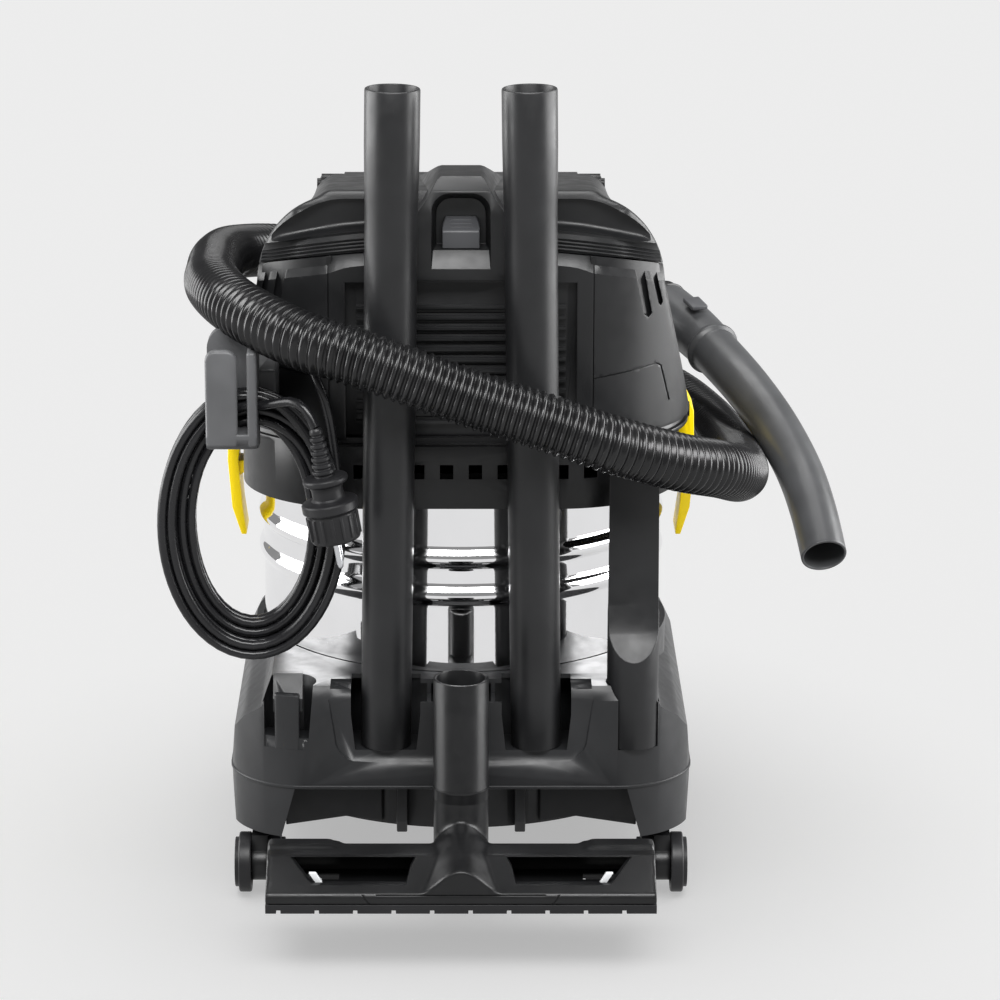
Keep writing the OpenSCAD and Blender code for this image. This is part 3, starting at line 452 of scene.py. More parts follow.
def lights():
    """Even studio light, with a softbox on each side, one in front and one above."""
    world = bpy.data.worlds.new("studio")
    world.use_nodes = True
    back = world.node_tree.nodes["Background"]
    back.inputs["Color"].default_value = (1, 1, 1, 1)
    back.inputs["Strength"].default_value = 0.28
    bpy.context.scene.world = world
    bpy.context.scene.view_settings.view_transform = "Standard"
    floor_sun()
    for name, side, radiance in (("left_box", -1, 7.5), ("right_box", 1, 8.5)):
        area_light(name, (side * 1.7, 0.1, 0.75), (0, -0.1, 0.6), (1.8, 1.3), radiance)
    area_light("front_box", (0.1, -1.75, 2.1), PIECES_MIDDLE, (2.2, 0.8), 16.0)
    area_light("top_box", (0, 0.55, 2.3), PIECES_MIDDLE, (1.4, 0.8), 7.0)


# ---- Hose and cable ----

HOSE_ROUTE = [
    (0, 232, 333), (10, 282, 325), (52, 320, 312), (114, 312, 298), (172, 257, 288),
    (202, 172, 284), (214, 80, 286), (217, -10, 295), (212, -90, 309), (192, -158, 331),
    (159, -197, 347), (112, -221, 366), (60, -226, 385), (0, -226, 405), (-70, -226, 431),
    (-120, -211, 444), (-162, -168, 455), (-185, -100, 457), (-190, -20, 451), (-191, 60, 443),
    (-181, 130, 434), (-140, 190, 421), (-60, 218, 401), (20, 222, 380), (90, 219, 372),
    (140, 204, 374), (168, 180, 376),
]
HANDLE_ROUTE = [
    (168, 180, 376), (190, 143, 365), (209, 102, 353), (229, 61, 337), (248, 24, 316),
    (264, -12, 291), (273, -48, 268), (279, -86, 242),
]
LEAD_ROUTE = [(-112, -188, 420), (-108, -199, 416), (-102, -203, 404), (-97, -200, 388)]
TAIL_ROUTE = [
    (-138, -198, 386), (-130, -207, 397), (-118, -217, 401), (-109, -223, 393), (-106, -224, 380),
]
PLUG_TOP = Vector(TAIL_ROUTE[-1])
PLUG_TILT = 10  # degrees from straight down
HANDLE_INNER = 190  # length of hose inside the handle


def hose():
    """Spiral-ribbed hose. Its last stretch is smooth, inside the handle."""
    route = smooth_path(HOSE_ROUTE + HANDLE_ROUTE[1:], 12)
    rib_pitch = 6.2
    step = rib_pitch / 8
    end_of_ribs = path_length(smooth_path(HOSE_ROUTE, 12)) + 2
    path = even_path(route, step)[: int((end_of_ribs + HANDLE_INNER) / step)]
    rib_depth, gap, inner_r = 2.7, 0.2, 16.8
    sides = 56
    rings = []
    for i, (point, _, across, up) in enumerate(frames_along(path)):
        s = i * step
        ring = []
        for k in range(sides):
            a = math.tau * k / sides
            phase = math.tau * s / rib_pitch - a
            crest = 0.5 + 0.5 * math.cos(phase)
            r = HOSE_D / 2 - rib_depth * (1 - crest**0.8) - gap
            if s > end_of_ribs:
                r = inner_r
            ring.append(point + (across * math.cos(a) + up * math.sin(a)) * r)
        rings.append(ring)
    obj = loft("suction_hose", rings)
    dress(obj, HOSE, "head", "hose_tube", angle=100)
    return obj, path


def coil_path():
    """Centre line of the wound cable: turns in layers, oval because they hang from the hook."""
    pitch, layer = 7.15, 8.4
    crossing = 0.2  # part of a turn in which the cable moves over to its next place
    outer = (HANK_HIGH.x - HANK_LOW.x) / 2
    centre_x = (HANK_HIGH.x + HANK_LOW.x) / 2
    middle_z = (HANK_HIGH.z + HANK_LOW.z) / 2
    drop = HANK_HIGH.z - HANK_LOW.z - 2 * outer
    radii = [outer - CABLE_D / 2 - pitch * k for k in range(4)]
    back, middle, front = [HANK_HIGH.y - 4 - layer * k for k in range(3)]
    slots = [(r, back) for r in radii] + [(r, middle) for r in reversed(radii)]
    slots += [(radii[0], front), (radii[1], front)]
    first, last = 28, 71
    sweep = first - last + 360 * len(slots)
    steps = 40 * len(slots)
    path = []
    for i in range(steps + 1):
        turned = sweep * i / steps
        turn = min(int(turned / 360), len(slots) - 1)
        part = turned / 360 - turn
        r, y = slots[turn]
        if turn + 1 < len(slots) and part > 1 - crossing:
            t = (part - (1 - crossing)) / crossing
            t = t * t * (3 - 2 * t)
            r += (slots[turn + 1][0] - r) * t
            y += (slots[turn + 1][1] - y) * t
        a = math.radians(first - turned)
        sway = noise.noise(Vector((turned / 150, turn * 0.9, 0))) * 2.4
        low = 0.5 - 0.5 * math.sin(a)
        r_here = r - abs(sway) * (0.4 + low) * (1 if r > radii[2] else 0.3)
        z = middle_z + (r_here + drop / 2) * math.sin(a)
        path.append(Vector((centre_x + r_here * math.cos(a), y + sway * 0.3 * low, z)))
    return path


def relax(path, rounds):
    """Rounds off kinks by moving points towards their neighbours. The ends stay."""
    for _ in range(rounds):
        middle = [(a + b * 2 + c) / 4 for a, b, c in zip(path, path[1:], path[2:])]
        path = [path[0]] + middle + [path[-1]]
    return path


def mains_cable():
    """One cable from the gland through the hank to the plug."""
    lead = smooth_path(LEAD_ROUTE, 5)
    tail = smooth_path(TAIL_ROUTE, 5)
    turns = coil_path()[3:-3]
    joined = lead[:-1] + smooth_path([lead[-1], turns[0]], 3)[1:-1] + turns + tail[1:]
    path = relax(even_path(joined, 9), 5)
    curve = bpy.data.curves.new("mains_cable", "CURVE")
    curve.dimensions = "3D"
    curve.bevel_depth = CABLE_D / 2 * MM
    curve.bevel_resolution = 4
    curve.use_fill_caps = True
    line = curve.splines.new("POLY")
    line.points.add(len(path) - 1)
    for knot, point in zip(line.points, path):
        knot.co = (*(point * MM), 1)
    obj = bpy.data.objects.new("mains_cable", curve)
    bpy.context.collection.objects.link(obj)
    dress(obj, CABLE, "head", "cable_lead", "cable_hank", "cable_tail")
    return obj, path


def turned_along(obj, place, direction):
    """Moves a turned piece so that its Z axis points along a direction from a place."""
    turn = Vector((0, 0, 1)).rotation_difference(Vector(direction).normalized()).to_matrix().to_4x4()
    obj.data.transform(Matrix.Translation(Vector(place) * MM) @ turn)
    return obj


def plug():
    """Moulded plug with a ribbed relief, a ribbed rim and two pins."""
    lean = math.radians(180 - PLUG_TILT)
    down = Vector((math.sin(lean), 0, math.cos(lean)))
    relief = [(3.6, 0)]
    for k in range(7):
        z = 2 + 5 * k
        r = 5.0 + 0.55 * k
        relief += [(r, z), (r, z + 2.6), (r - 1.1, z + 3.2), (r - 1.1, z + 4.6)]
    profile = relief + [
        (9.0, 37), (15.5, 37.2), (16.6, 38.2), (16.8, 40), (16, 42), (12.6, 43.5), (11.6, 47), (11.8, 53),
        (13, 54.5), (19.8, 55.4), (20.8, 56.6), (20.8, 62), (19.8, 63.4), (18.4, 64.4), (18.3, 84),
        (17.4, 85.8), (9.5, 86), (0, 86),
    ]
    body = lathe("plug_body_detail", [(0, 0)] + profile, 64, closed=False)
    grips = []
    for k in range(16):
        a = math.tau * k / 16
        rib = box("rib", (-0.9, -1.1, 66), (0.9, 1.1, 83))
        rib.data.transform(Matrix.Rotation(a, 4, "Z") @ Matrix.Translation((18.5 * MM, 0, 0)))
        grips.append(rib)
    join(body, *grips)
    bevel(body, 0.35, 2, 40)
    turned_along(body, PLUG_TOP, down)
    dress(body, RUBBER, "head", "plug_body")
    pin_profile = [(0, 0), (2.35, 0), (2.4, 10.5), (2.4, 15.5), (2.0, 18), (1.1, 19.2), (0, 19.4)]
    pins = []
    for side in (-9.5, 9.5):
        pin = lathe("plug_pin", pin_profile, 32, closed=False)
        pin.data.transform(Matrix.Translation((0, side * MM, 86 * MM)))
        pins.append(pin)
    pair = join(pins[0], pins[1])
    pair.name = "plug_pins_detail"
    turned_along(pair, PLUG_TOP, down)
    dress(pair, BRIGHT, "head", "plug_pins")
    return body, pair


def cable_gland():
    """Ribbed sleeve where the cable leaves the head."""
    low, high = span("cable_gland")
    profile = [(0, 0), (3.9, 0)]
    for k in range(6):
        r = 4.6 + 0.5 * k
        profile += [(r, 1 + 4 * k), (r, 3.2 + 4 * k), (r - 0.8, 3.8 + 4 * k), (r - 0.8, 4.8 + 4 * k)]
    profile += [(8.4, 26), (9.4, 27), (9.4, high.y - low.y), (0, high.y - low.y)]
    obj = lathe("cable_relief", profile, 48, closed=False)
    bevel(obj, 0.3, 2, 40)
    turned_along(obj, ((low.x + high.x) / 2, low.y, (low.z + high.z) / 2), (0, 1, 0))
    return dress(obj, RUBBER, "head", "cable_gland")


def hose_handle():
    """Bent grip pipe: a tapered cap over the hose, a ring, a smooth bend and an open mouth."""
    step, sides = 2.5, 56
    path = even_path(smooth_path(HANDLE_ROUTE, 16), step)
    total = path_length(path)
    lip, cap_end, ring_end = 6, 74, 80
    bore_r, bore_steps = 15.6, 46

    def outer(s):
        if s < lip:
            return 21.0 + 0.2 * math.sin(s / lip * math.pi / 2)
        if s < cap_end:
            return 21.2 - 1.6 * ((s - lip) / (cap_end - lip)) ** 2
        if s < ring_end:
            return 22.2
        return 19.4 - 1.7 * ((s - ring_end) / (total - ring_end)) ** 0.9

    frames = frames_along(path)
    rings = []
    for i, (point, _, across, up) in enumerate(frames):
        rings.append(circle_round(point, across, up, outer(i * step), sides))
    inner_rings = []
    for point, _, across, up in reversed(frames[-bore_steps:]):
        inner_rings.append(circle_round(point, across, up, bore_r, sides))
    obj = loft("hose_grip", rings + inner_rings)
    bevel(obj, 0.8, 2, 40)
    dress(obj, GRIP_PAINTED_LIGHT, "head", "hose_handle", angle=50)
    return obj


def cords():
    """Hose and mains cable, with the pieces at their ends."""
    tube, tube_path = hose()
    grip = hose_handle()
    cable, cable_path = mains_cable()
    body, pins = plug()
    cable_gland()


camera()
floor()
lights()
cords()

# ---- Container, tubes and base ----


def container():
    """Mirror-polished steel shell with two rolled beads and a rolled rim."""
    floor_z = CAN_LOW.z
    outside = [(0, floor_z), (CAN_R - 12, floor_z)]
    outside += arc((CAN_R - 12, floor_z + 12), 12, -90, 0, 10)[1:]
    for z in (231, 260):
        outside.append((CAN_R, z - 11))
        for k in range(1, 24):
            t = k / 24
            outside.append((CAN_R + 3.9 * math.sin(math.pi * t) ** 1.6, z - 9 + 18 * t))
        outside.append((CAN_R, z + 11))
    outside.append((CAN_R, CAN_HIGH.z - 4))
    outside += arc((CAN_R + 0.1, CAN_HIGH.z - 1.7), 1.7, -60, 180, 12)
    thick, rim_points = 1.2, 14
    wall = reversed(outside[:-rim_points])
    inside = [(r - thick, max(z, floor_z + thick)) for r, z in wall if r > 1]
    obj = lathe("steel_container", outside + inside + [(0, floor_z + thick)], 256, closed=False)
    return dress(obj, STEEL, "chassis", "container", angle=40)


def suction_tube(side):
    """Straight tube that leans towards the middle, with a wider socket end at the top."""
    node = "suction_tube_left" if side < 0 else "suction_tube_right"
    low, high = span(node)
    length = high.z - low.z
    foot_r, top_r, thick = 18.75, 20.35, 1.9
    profile = [(foot_r - 0.5, 0), (foot_r, 0.8)]
    profile += [(foot_r + 0.8 * k / 8, 1 + (length - 84) * k / 8) for k in range(1, 9)]
    profile += [(foot_r + 1.0, length - 82), (top_r, length - 42)]
    profile += [(top_r, length - 1.2), (top_r - 0.4, length - 0.3), (top_r - 0.9, length)]
    profile += [(top_r - thick + 0.3, length), (top_r - thick, length - 0.5), (top_r - thick, length - 40)]
    profile += [(foot_r - thick, length - 44), (foot_r - thick, 0)]
    obj = lathe(node + "_shell", profile, 96)
    foot = Vector((side * (abs(low.x if side < 0 else high.x) - foot_r), TUBE_Y, low.z + 0.3))
    lean = math.atan(7 / 500)
    turned_along(obj, foot, (-side * math.sin(lean), 0, math.cos(lean)))
    return dress(obj, TUBE, node, node)


def base_plan(offset, z):
    """Outline of the base at its rim, set out or in by an offset."""
    half, rear, front = 175 + offset, BASE_PLAN_REAR - offset, BASE_HIGH.y + offset
    small, big = 60 + offset, 110 + offset
    outline = (
        arc((half - big, front - big), big, 0, 90, 14)
        + arc((big - half, front - big), big, 90, 180, 14)
        + arc((small - half, rear + small), small, 180, 270, 12)
        + arc((half - small, rear + small), small, 270, 360, 12)
    )
    return [(x, y, z) for x, y in outline]


def base_face(x):
    """Rear face of the base, which turns into the left corner."""
    corner = 60
    return BASE_PLAN_REAR + corner - math.sqrt(corner**2 - max(0, -x - 115) ** 2)


def dock_line(out, y):
    """U-shaped outline round both tube docks."""
    corner = arc((-74 - out, 132), 20, 180, 250, 6)
    half = [(-102 - out, 180), (-98 - out, 158)] + corner + [(-60, 112 - out / 2)]
    return [(x, y, z) for x, z in half + [(-x, z) for x, z in reversed(half)]]


def parking_tongue():
    """Tongue of the free parking place, the sill under it and the slope behind it."""
    across = [-140 + 2.7 * k for k in range(8)]
    face = [(x, base_face(x) + 0.3) for x in across] + [(x, base_face(x) + 9) for x in reversed(across)]
    tongue = bevel(prism("tongue", face, "z", 118, 164.5), 1.6, 3)
    across = [-149 + 3 * k for k in range(15)]
    foot = [(x, base_face(x) + 0.8) for x in across] + [(x, base_face(x) + 20) for x in reversed(across)]
    sill = prism("sill", foot, "z", 116, 131)
    slope = [(-187, 150), (-187, 160), (-177, 177), (-171, 177), (-171, 150)]
    return [tongue, sill, prism("rise", slope, "x", -141, -119)]


def belly_ribs():
    """Two ribs and two webs under the rear of the base."""
    ribs = []
    for side in (-1, 1):
        x = 45 * side
        outline = [(-172, 92), (-170, 56), (-161, 44), (-150, 50), (-148, 92)]
        ribs.append(prism("rib", outline, "x", x - 4, x + 4))
        web = [(side * 134, 92), (side * 134, 47), (side * 88, 54), (side * 60, 50), (side * 60, 92)]
        ribs.append(prism("web", web, "y", -153, -149))
    return [bevel(rib, 1, 2) for rib in ribs]


def rim_bead():
    """Fine bead round the rim of the base."""
    bead = [base_plan(-1.5, 90.6), base_plan(1.0, 91.6), base_plan(1.0, 93.4), base_plan(-1.5, 95)]
    obj = bevel(loft("base_rim_bead", bead), 0.25, 2, 50)
    cut(obj, loft("bead_hole", [base_plan(-2.2, 80), base_plan(-2.2, 110)]))
    dress(obj, SHELL, "chassis")


def base():
    """Base with a parking tongue, a recess round the docks, ribs under the belly and a rim bead."""
    obj = from_node("base_tub", "base_shell")
    bevel(obj, 1.3, 2)
    outside, inside = BASE_PLAN_REAR - 5, BASE_PLAN_REAR + 23
    for leg in (
        [(-121.5, 128.5), (-114.5, 128.5), (-110, 180), (-121.5, 180)],
        [(-147.3, 135.6), (-140, 135.6), (-137, 180), (-145, 180)],
    ):
        cut(obj, prism("leg_slot", leg, "y", outside, inside))
    recess = ((1.6, -2), (1, 0), (0, 1))
    cut(obj, loft("docks", [dock_line(out, BASE_PLAN_REAR + depth) for out, depth in recess]))
    half = [(98, 220), (98, 169), (50, 168), (44, 159.5)]
    cut(obj, prism("pit", half + [(-x, z) for x, z in reversed(half)], "y", outside, inside))
    join(obj, *parking_tongue(), *belly_ribs())
    rim_bead()
    return dress(obj, SHELL, "chassis", "base_shell", angle=18)


def bell(half, low, high, y):
    """Bell-shaped section of the nozzle's hump, as a ring at one place along Y."""
    ring = []
    for k in range(25):
        t = -1 + 2 * k / 24
        ring.append((t * half, y, low + (high - low) * (0.5 + 0.5 * math.cos(math.pi * t)) ** 0.9))
    return ring + [(half, y, low - 6), (-half, y, low - 6)]


def nozzle_form(face, rear, low, half, neck_y):
    """Outside of the nozzle without its neck: a wedge with raised ends, a hump and the root of the neck."""
    profile = [
        (face, low), (face, 52), (face + 1.5, 54), (face + 34, 72), (face + 52, 74), (rear - 4, 69),
        (rear, 60), (rear, low),
    ]
    obj = prism("nozzle_shell", profile, "x", -half, half)
    top = 75.8
    for side in (-1, 1):
        end = side * (half - 0.5)
        raised = [(end, 60), (end, top), (side * 98, top), (side * 88, 73), (side * 88, 60)]
        join(obj, prism("raised", raised, "y", rear - 26, rear - 10))
    hump = [bell(31, 54, 71, face + 1.2), bell(33, 59, 79, face + 26)]
    hump += [bell(36, 63, 85, face + 50), bell(26, 64, 89, neck_y - 8)]
    join(obj, loft("hump", hump))
    root_r = 20.5
    circle = [(x * root_r, neck_y + y * root_r) for x, y in arc((0, 0), 1, 0, 357.5, 143)]
    join(obj, loft("neck_root", [[(x, y, z) for x, y in circle] for z in (56, 104)]))
    return soften(obj, 1.5, 7)


def floor_nozzle():
    """Wide floor nozzle with two windows in its sloping face and a hump under its neck."""
    half = (NOZZLE_HIGH.x - NOZZLE_LOW.x) / 2
    face, rear = NOZZLE_LOW.y, NOZZLE_LOW.y + 70
    neck_y = face + 81
    obj = nozzle_form(face, rear, STRIPS_HIGH.z + 0.2, half, neck_y)
    inside = [(face + 4, 49), (face + 4, 51), (face + 36, 69), (rear - 8, 65), (rear - 4, 57), (rear - 4, 49)]
    cut(obj, prism("inside", inside, "x", 4 - half, half - 4))
    for side in (-1, 1):
        near, end = sorted((side * 90, side * 118))
        cut(obj, box("mouth", (near, face + 44, 30), (end, face + 56, 52)))
    for side in (-1, 1):
        window = [(side * 125, 71), (side * 33, 71), (side * 37, 66), (side * 40, 58), (side * 109, 58)]
        cut(obj, prism("window", window, "y", face - 10, face + 44))
        edge = [(side * 61, 40), (side * 74, 57.2), (side * 75.5, 57.2), (side * 62.5, 40)]
        cut(obj, prism("inlay", edge, "y", face - 10, face + 1.2))
    cut(obj, box("inlay_line", (-62, face - 10, 52.6), (62, face + 2, 53.6)))
    neck = from_node("neck", "nozzle_body")
    keep(neck, box("upper", (-60, -400, 101), (60, 0, 300)))
    join(obj, neck)
    cut(obj, box("bore", (-11, neck_y - 11, 90), (11, neck_y + 11, 190)))
    bevel(obj, 0.7, 2, 40)
    return dress(obj, TRIM, "floor_nozzle", "nozzle_body", angle=42)


# ---- Head ----

HEAD_REAR = span("rear_grille")[0].y
HEAD_FRONT = 165
HEAD_HALF = 175
CORNER = 95
CROWN_R, CROWN_X, CROWN_Z = 66, 86.5, 468
DECK_HALF, DECK_TOP, DECK_R = 114.5, 538, 26
RIM = Vector((0, -126, 536))  # rear rim, where the top starts to fall
CROWN_FALL, DECK_FALL = 0.2, 0.1
SEAM_R, SEAM_TOP, SEAM_FALL = 860, 497, math.tan(math.radians(8))
LIP_H = 14.5  # height of the ribbed lip round the rear
PANEL_X = 98


def seam(point):
    """Height of the seam under the top cover."""
    return SEAM_TOP - SEAM_R + math.sqrt(SEAM_R**2 - point.x**2) - (point.y - HEAD_REAR) * SEAM_FALL


def crown(point):
    """Height of the head's shoulder, without the deck."""
    out = max(0, abs(point.x) - CROWN_X)
    fall = (max(point.y, RIM.y) - RIM.y) * CROWN_FALL
    return CROWN_Z + math.sqrt(max(0, CROWN_R**2 - out**2)) - fall


def fallen(obj, slope):
    """Tilts a shape that runs along Y, so that it falls towards the front from the rear rim."""
    turn = Matrix.Rotation(-math.atan(slope), 4, "X")
    obj.data.transform(Matrix.Translation(RIM * MM) @ turn @ Matrix.Translation(-RIM * MM))
    return obj


def head_block(name, inset):
    """Head as the part common to its plan, its rear view and its side view."""
    half, rear, front = HEAD_HALF - inset, HEAD_REAR + inset, HEAD_FRONT - inset
    plan = rounded_box_outline(-half, rear, half, front, CORNER - inset, 20)
    view = [(-half, 250), (half, 250), (half, 372)] + arc((CROWN_X, CROWN_Z), CROWN_R - inset, 0, 90, 16)
    view += arc((-CROWN_X, CROWN_Z), CROWN_R - inset, 90, 180, 16) + [(-half, 372)]
    wide, corner = DECK_HALF - inset, DECK_R - inset
    deck = rounded_box_outline(-wide, 400, wide, DECK_TOP - inset, corner, 8)
    profile = [
        (rear, 345), (rear + 2, 488), (rear + 5, 514), (rear + 12, 526 - inset), (rear + 24, 536 - inset),
        (20, 521 - inset), (front - 45, 501 - inset), (front - 18, 486 - inset), (front - 4, 464),
        (front, 345),
    ]
    shoulders = fallen(prism("view", view, "y", rear - 150, front + 150), CROWN_FALL)
    join(shoulders, fallen(prism("deck", deck, "y", rear - 150, front + 150), DECK_FALL))
    return keep(
        prism(name, plan, "z", 347, 580), shoulders, prism("side", profile, "x", -half - 5, half + 5)
    )


def soft_head():
    """Head with its outside softened all over."""
    return soften(head_block("soft_head", 0), 2.6, 9)


def copy_of(obj, name):
    """Second object with a mesh of its own."""
    twin = bpy.data.objects.new(name, obj.data.copy())
    bpy.context.collection.objects.link(twin)
    return twin


def rear_stations():
    """Points on the plan outline round the rear, with the direction that points inwards."""
    stations = [(Vector((x, HEAD_REAR, 0)), Vector((0, 1, 0))) for x in range(-80, 81, 10)]
    corner = []
    for k in range(1, 24):
        a = math.radians(4 * k)
        inward = Vector((-math.sin(a), math.cos(a), 0))
        corner.append((Vector((80, HEAD_REAR + CORNER, 0)) - inward * CORNER, inward))
    left = [(Vector((-p.x, p.y, 0)), Vector((-d.x, d.y, 0))) for p, d in reversed(corner)]
    return left + stations + corner


def swept_cutter(name, profile):
    """Solid whose section, as (depth inwards, height), follows the rear of the head."""
    rings = []
    for point, inward in rear_stations():
        rings.append([point + inward * d + Vector((0, 0, z)) for d, z in profile(point)])
    return loft(name, rings)


def lip_section(point):
    """Space outside the ribbed lip, which fades out towards the sides of the head."""
    low = seam(point) + LIP_H
    fade = min(1, max(0, (152 - abs(point.x)) / 22))
    points = [(-14, low), (9 * fade, low), (9.5 * fade, low - 2)]
    for k in range(4):
        z = low - 5.5 - 2.6 * k
        d = (8.4 - 0.5 * k) * fade
        points += [(d, z), (d + 1.6 * fade, z - 0.6), (d + 1.6 * fade, z - 1.1), (d - 0.2, z - 1.7)]
    points += [(6.2 * fade, seam(point) - 3), (-14, seam(point) - 3)]
    return points


def hollow():
    """Cutter for the dark hollow under the rim, with a flare at its foot."""
    rings = []
    back = RIM.y - 1.5
    for k in range(-37, 38):
        point = Vector((4 * k, HEAD_REAR, 0))
        low = seam(point) + LIP_H - 0.2 - max(0, abs(point.x) - 90) * 0.06
        high = max(crown(point) - 3.2, low + 0.8)
        flare = min(6, (high - low) * 0.5)
        ring = [(point.x, -220, high), (point.x, back, high)]
        for i in range(8):
            a = math.radians(90 * i / 7)
            y = back - 1.6 * flare * (1 - math.cos(a))
            ring.append((point.x, y, low + flare * (1 - math.sin(a))))
        rings.append(ring + [(point.x, -220, low)])
    return loft("hollow", rings)


def shelf_section(point):
    """Ledge under the lip that slopes down and outwards."""
    top = seam(point)
    ledge = [(8, top - 0.8), (6.5, top - 2), (0.2, top - 13.5)]
    return [(-14, top + 40), (8, top + 40)] + ledge + [(-14, top - 14)]


def seam_side(name, shift, far_z):
    """Space on one side of the seam, up or down to a far height."""
    rings = []
    for y in (-400, 400):
        ring = [(x, y, seam(Vector((x, y, 0))) + shift) for x in range(-240, 241, 8)]
        rings.append(ring + [(240, y, far_z), (-240, y, far_z)])
    return loft(name, rings)


def tilted(obj, pivot, slope):
    """Moves a shape to a pivot and tilts it towards the front."""
    turn = Matrix.Rotation(-math.atan(slope), 4, "X")
    obj.data.transform(Matrix.Translation(Vector(pivot) * MM) @ turn)
    return obj


def handle_channel():
    """Cutter for the channel that the folded carry handle lies in."""
    wide, inner, reach = 110, 90, 120
    outer = rounded_box_outline(-wide, -20, wide, reach, 13)
    hole = rounded_box_outline(-inner, -60, inner, reach - 20, 10)
    obj = prism("channel", outer, "z", -8.5, 60)
    cut(obj, prism("middle", hole, "z", -20, 80))
    return tilted(obj, (0, 20, 512), 0.2)


def top_cover(soft):
    """Top cover with its ribbed lip, the hollow above it, the tray and the room for the cassette."""
    obj = copy_of(soft, "head_cover")
    keep(obj, seam_side("upper", 0.3, 900))
    cut(obj, swept_cutter("lip", lip_section), hollow(), head_block("lining", 38))
    tray = prism("pan", rounded_box_outline(-83, 33, 83, 91, 8), "z", 496, 600)
    well = box("well", (-58.4, -300, 300), (58.4, -19.6, 700))
    cut(obj, handle_channel(), tray, well)
    bevel(obj, 0.5, 2, 40)
    return dress(obj, HEAD, "head", "top_cover", angle=24)


def shell_of(soft, name, region):
    """Outer skin of the head below the seam, thick enough at its top to carry the ledge."""
    obj = copy_of(soft, name)
    keep(obj, region, seam_side("lower", -0.6, 200))
    thin = head_block("thin", 4)
    keep(thin, seam_side("below_ledge", -18, 200))
    cut(obj, thin, head_block("thick", 14), swept_cutter("shelf", shelf_section))
    return obj


def groove(outline, depth):
    """Cutter for a groove of even depth in the head's rear face, drawn as an (x, z) outline."""
    return cut(prism("groove", outline, "y", -220, 60), head_block("kept", depth))


def line_outline(points, width):
    """Closed outline of a thin line through points."""
    above = []
    below = []
    for i, point in enumerate(points):
        a, b = Vector(points[max(i - 1, 0)]), Vector(points[min(i + 1, len(points) - 1)])
        side = Vector((a.y - b.y, b.x - a.x)).normalized() * width / 2
        above.append(Vector(point) + side)
        below.append(Vector(point) - side)
    return [tuple(p) for p in above + below[::-1]]


def side_panel(soft, side):
    """Side of the head behind the latch, with the clip grooves for straps at its rear corner."""
    node = "side_panel_left" if side < 0 else "side_panel_right"
    obj = shell_of(soft, node + "_shell", box("region", (PANEL_X + 0.8, -300, 352.4), (300, 70, 700)))
    cut(obj, box("latch_room", (167, -24, 290), (300, 24, 362)))
    cut(obj, groove([(109, 484), (112, 488), (142, 485), (142, 479.5), (124, 479.5), (116, 481)], 16))
    for outline in (
        [(129.5, 478), (136, 478), (142.5, 443), (140, 440), (136.5, 443)],
        [(141, 478), (144.5, 478), (151, 450), (149.5, 447), (147.5, 449)],
    ):
        cut(obj, groove(outline, 7))
    cut(obj, groove(line_outline([(99, 398), (146, 404), (150, 401), (157, 372)], 1.1), 1.2))
    bevel(obj, 0.5, 2, 40)
    if side < 0:
        obj.data.transform(Matrix.Scale(-1, 4, (1, 0, 0)))
        obj.data.flip_normals()
    return dress(obj, HEAD, "head", node, angle=24)


def rear_frame(soft):
    """Frame between the side panels, with a louvred back set deep in its window."""
    back = HEAD_REAR + 10
    obj = shell_of(soft, "grille", box("region", (-PANEL_X, -300, 352.4), (PANEL_X, -118, 700)))
    join(obj, box("back", (-90, back, 352.4), (90, back + 3, 474)))
    cut(obj, box("window", (-86, -300, 300), (86, back, 471)))
    cut(obj, box("cassette_room", (-58.6, -300, 473.5), (58.6, 0, 700)))
    ribs = [box("rib", (-78, back - 4, 362 + 8 * k), (78, back + 1, 364.5 + 8 * k)) for k in range(12)]
    join(obj, *ribs)
    slits = [box("slit", (-50, back - 1, 366 + 8 * k), (50, back + 2.2, 369 + 8 * k)) for k in range(11)]
    cut(obj, *slits)
    bevel(obj, 0.4, 2, 40)
    return dress(obj, HEAD, "head", "rear_grille", angle=24)


def cassette_arch(half, low, high):
    """Arch-shaped outline with rounded shoulders."""
    r = half * 0.62
    return (
        [(half, low)] + arc((half - r, high - r), r, 0, 90, 8) + arc((r - half, high - r), r, 90, 180, 8)
        + [(-half, low)]
    )


def cassette():
    """Filter cassette: a bell with a spine at the rear, and the piece of the head's top behind it."""
    half, rear, front = 57.8, -156, -20.3
    side = [
        (half, 474), (half, 500), (50, 508), (40, 516.5), (33, 524), (26.5, 532.5), (21.5, 541), (17.5, 547),
        (13.5, 550),
    ]
    face = side + [(-x, z) for x, z in reversed(side)]
    profile = [
        (rear, 474), (rear, 500), (rear + 1.5, 524), (rear + 6, 540), (rear + 18, 549), (-96, 549),
        (front, 526), (front, 474),
    ]
    obj = prism("cassette_shell", face, "y", rear, front)
    keep(obj, prism("profile", profile, "x", -70, 70))
    top = head_block("top", 0.2)
    keep(top, box("piece", (-half, -300, 474), (half, front, 700)))
    join(obj, top)
    hollow = head_block("hollow", 5)
    keep(hollow, box("room", (-half + 3, HEAD_REAR + 34, 477), (half - 3, front - 3, 700)))
    cut(obj, hollow)
    mouth = []
    for y, wide, low, high in ((-1, 22, 481, 540.5), (8, 20.9, 495.8, 537.5), (26, 18.5, 496.2, 531)):
        mouth.append([(x, rear + y, z) for x, z in cassette_arch(wide, low, high)])
    cut(obj, loft("mouth", mouth))
    join(obj, box("chamber_top", (-50, -136, 469), (50, -38, 478)))
    cut(obj, box("air_hole", (-40, -122, 460), (40, -48, 479)))
    bevel(obj, 1.1, 3, 25)
    return dress(obj, HEAD, "cassette", "filter_cassette", angle=40)


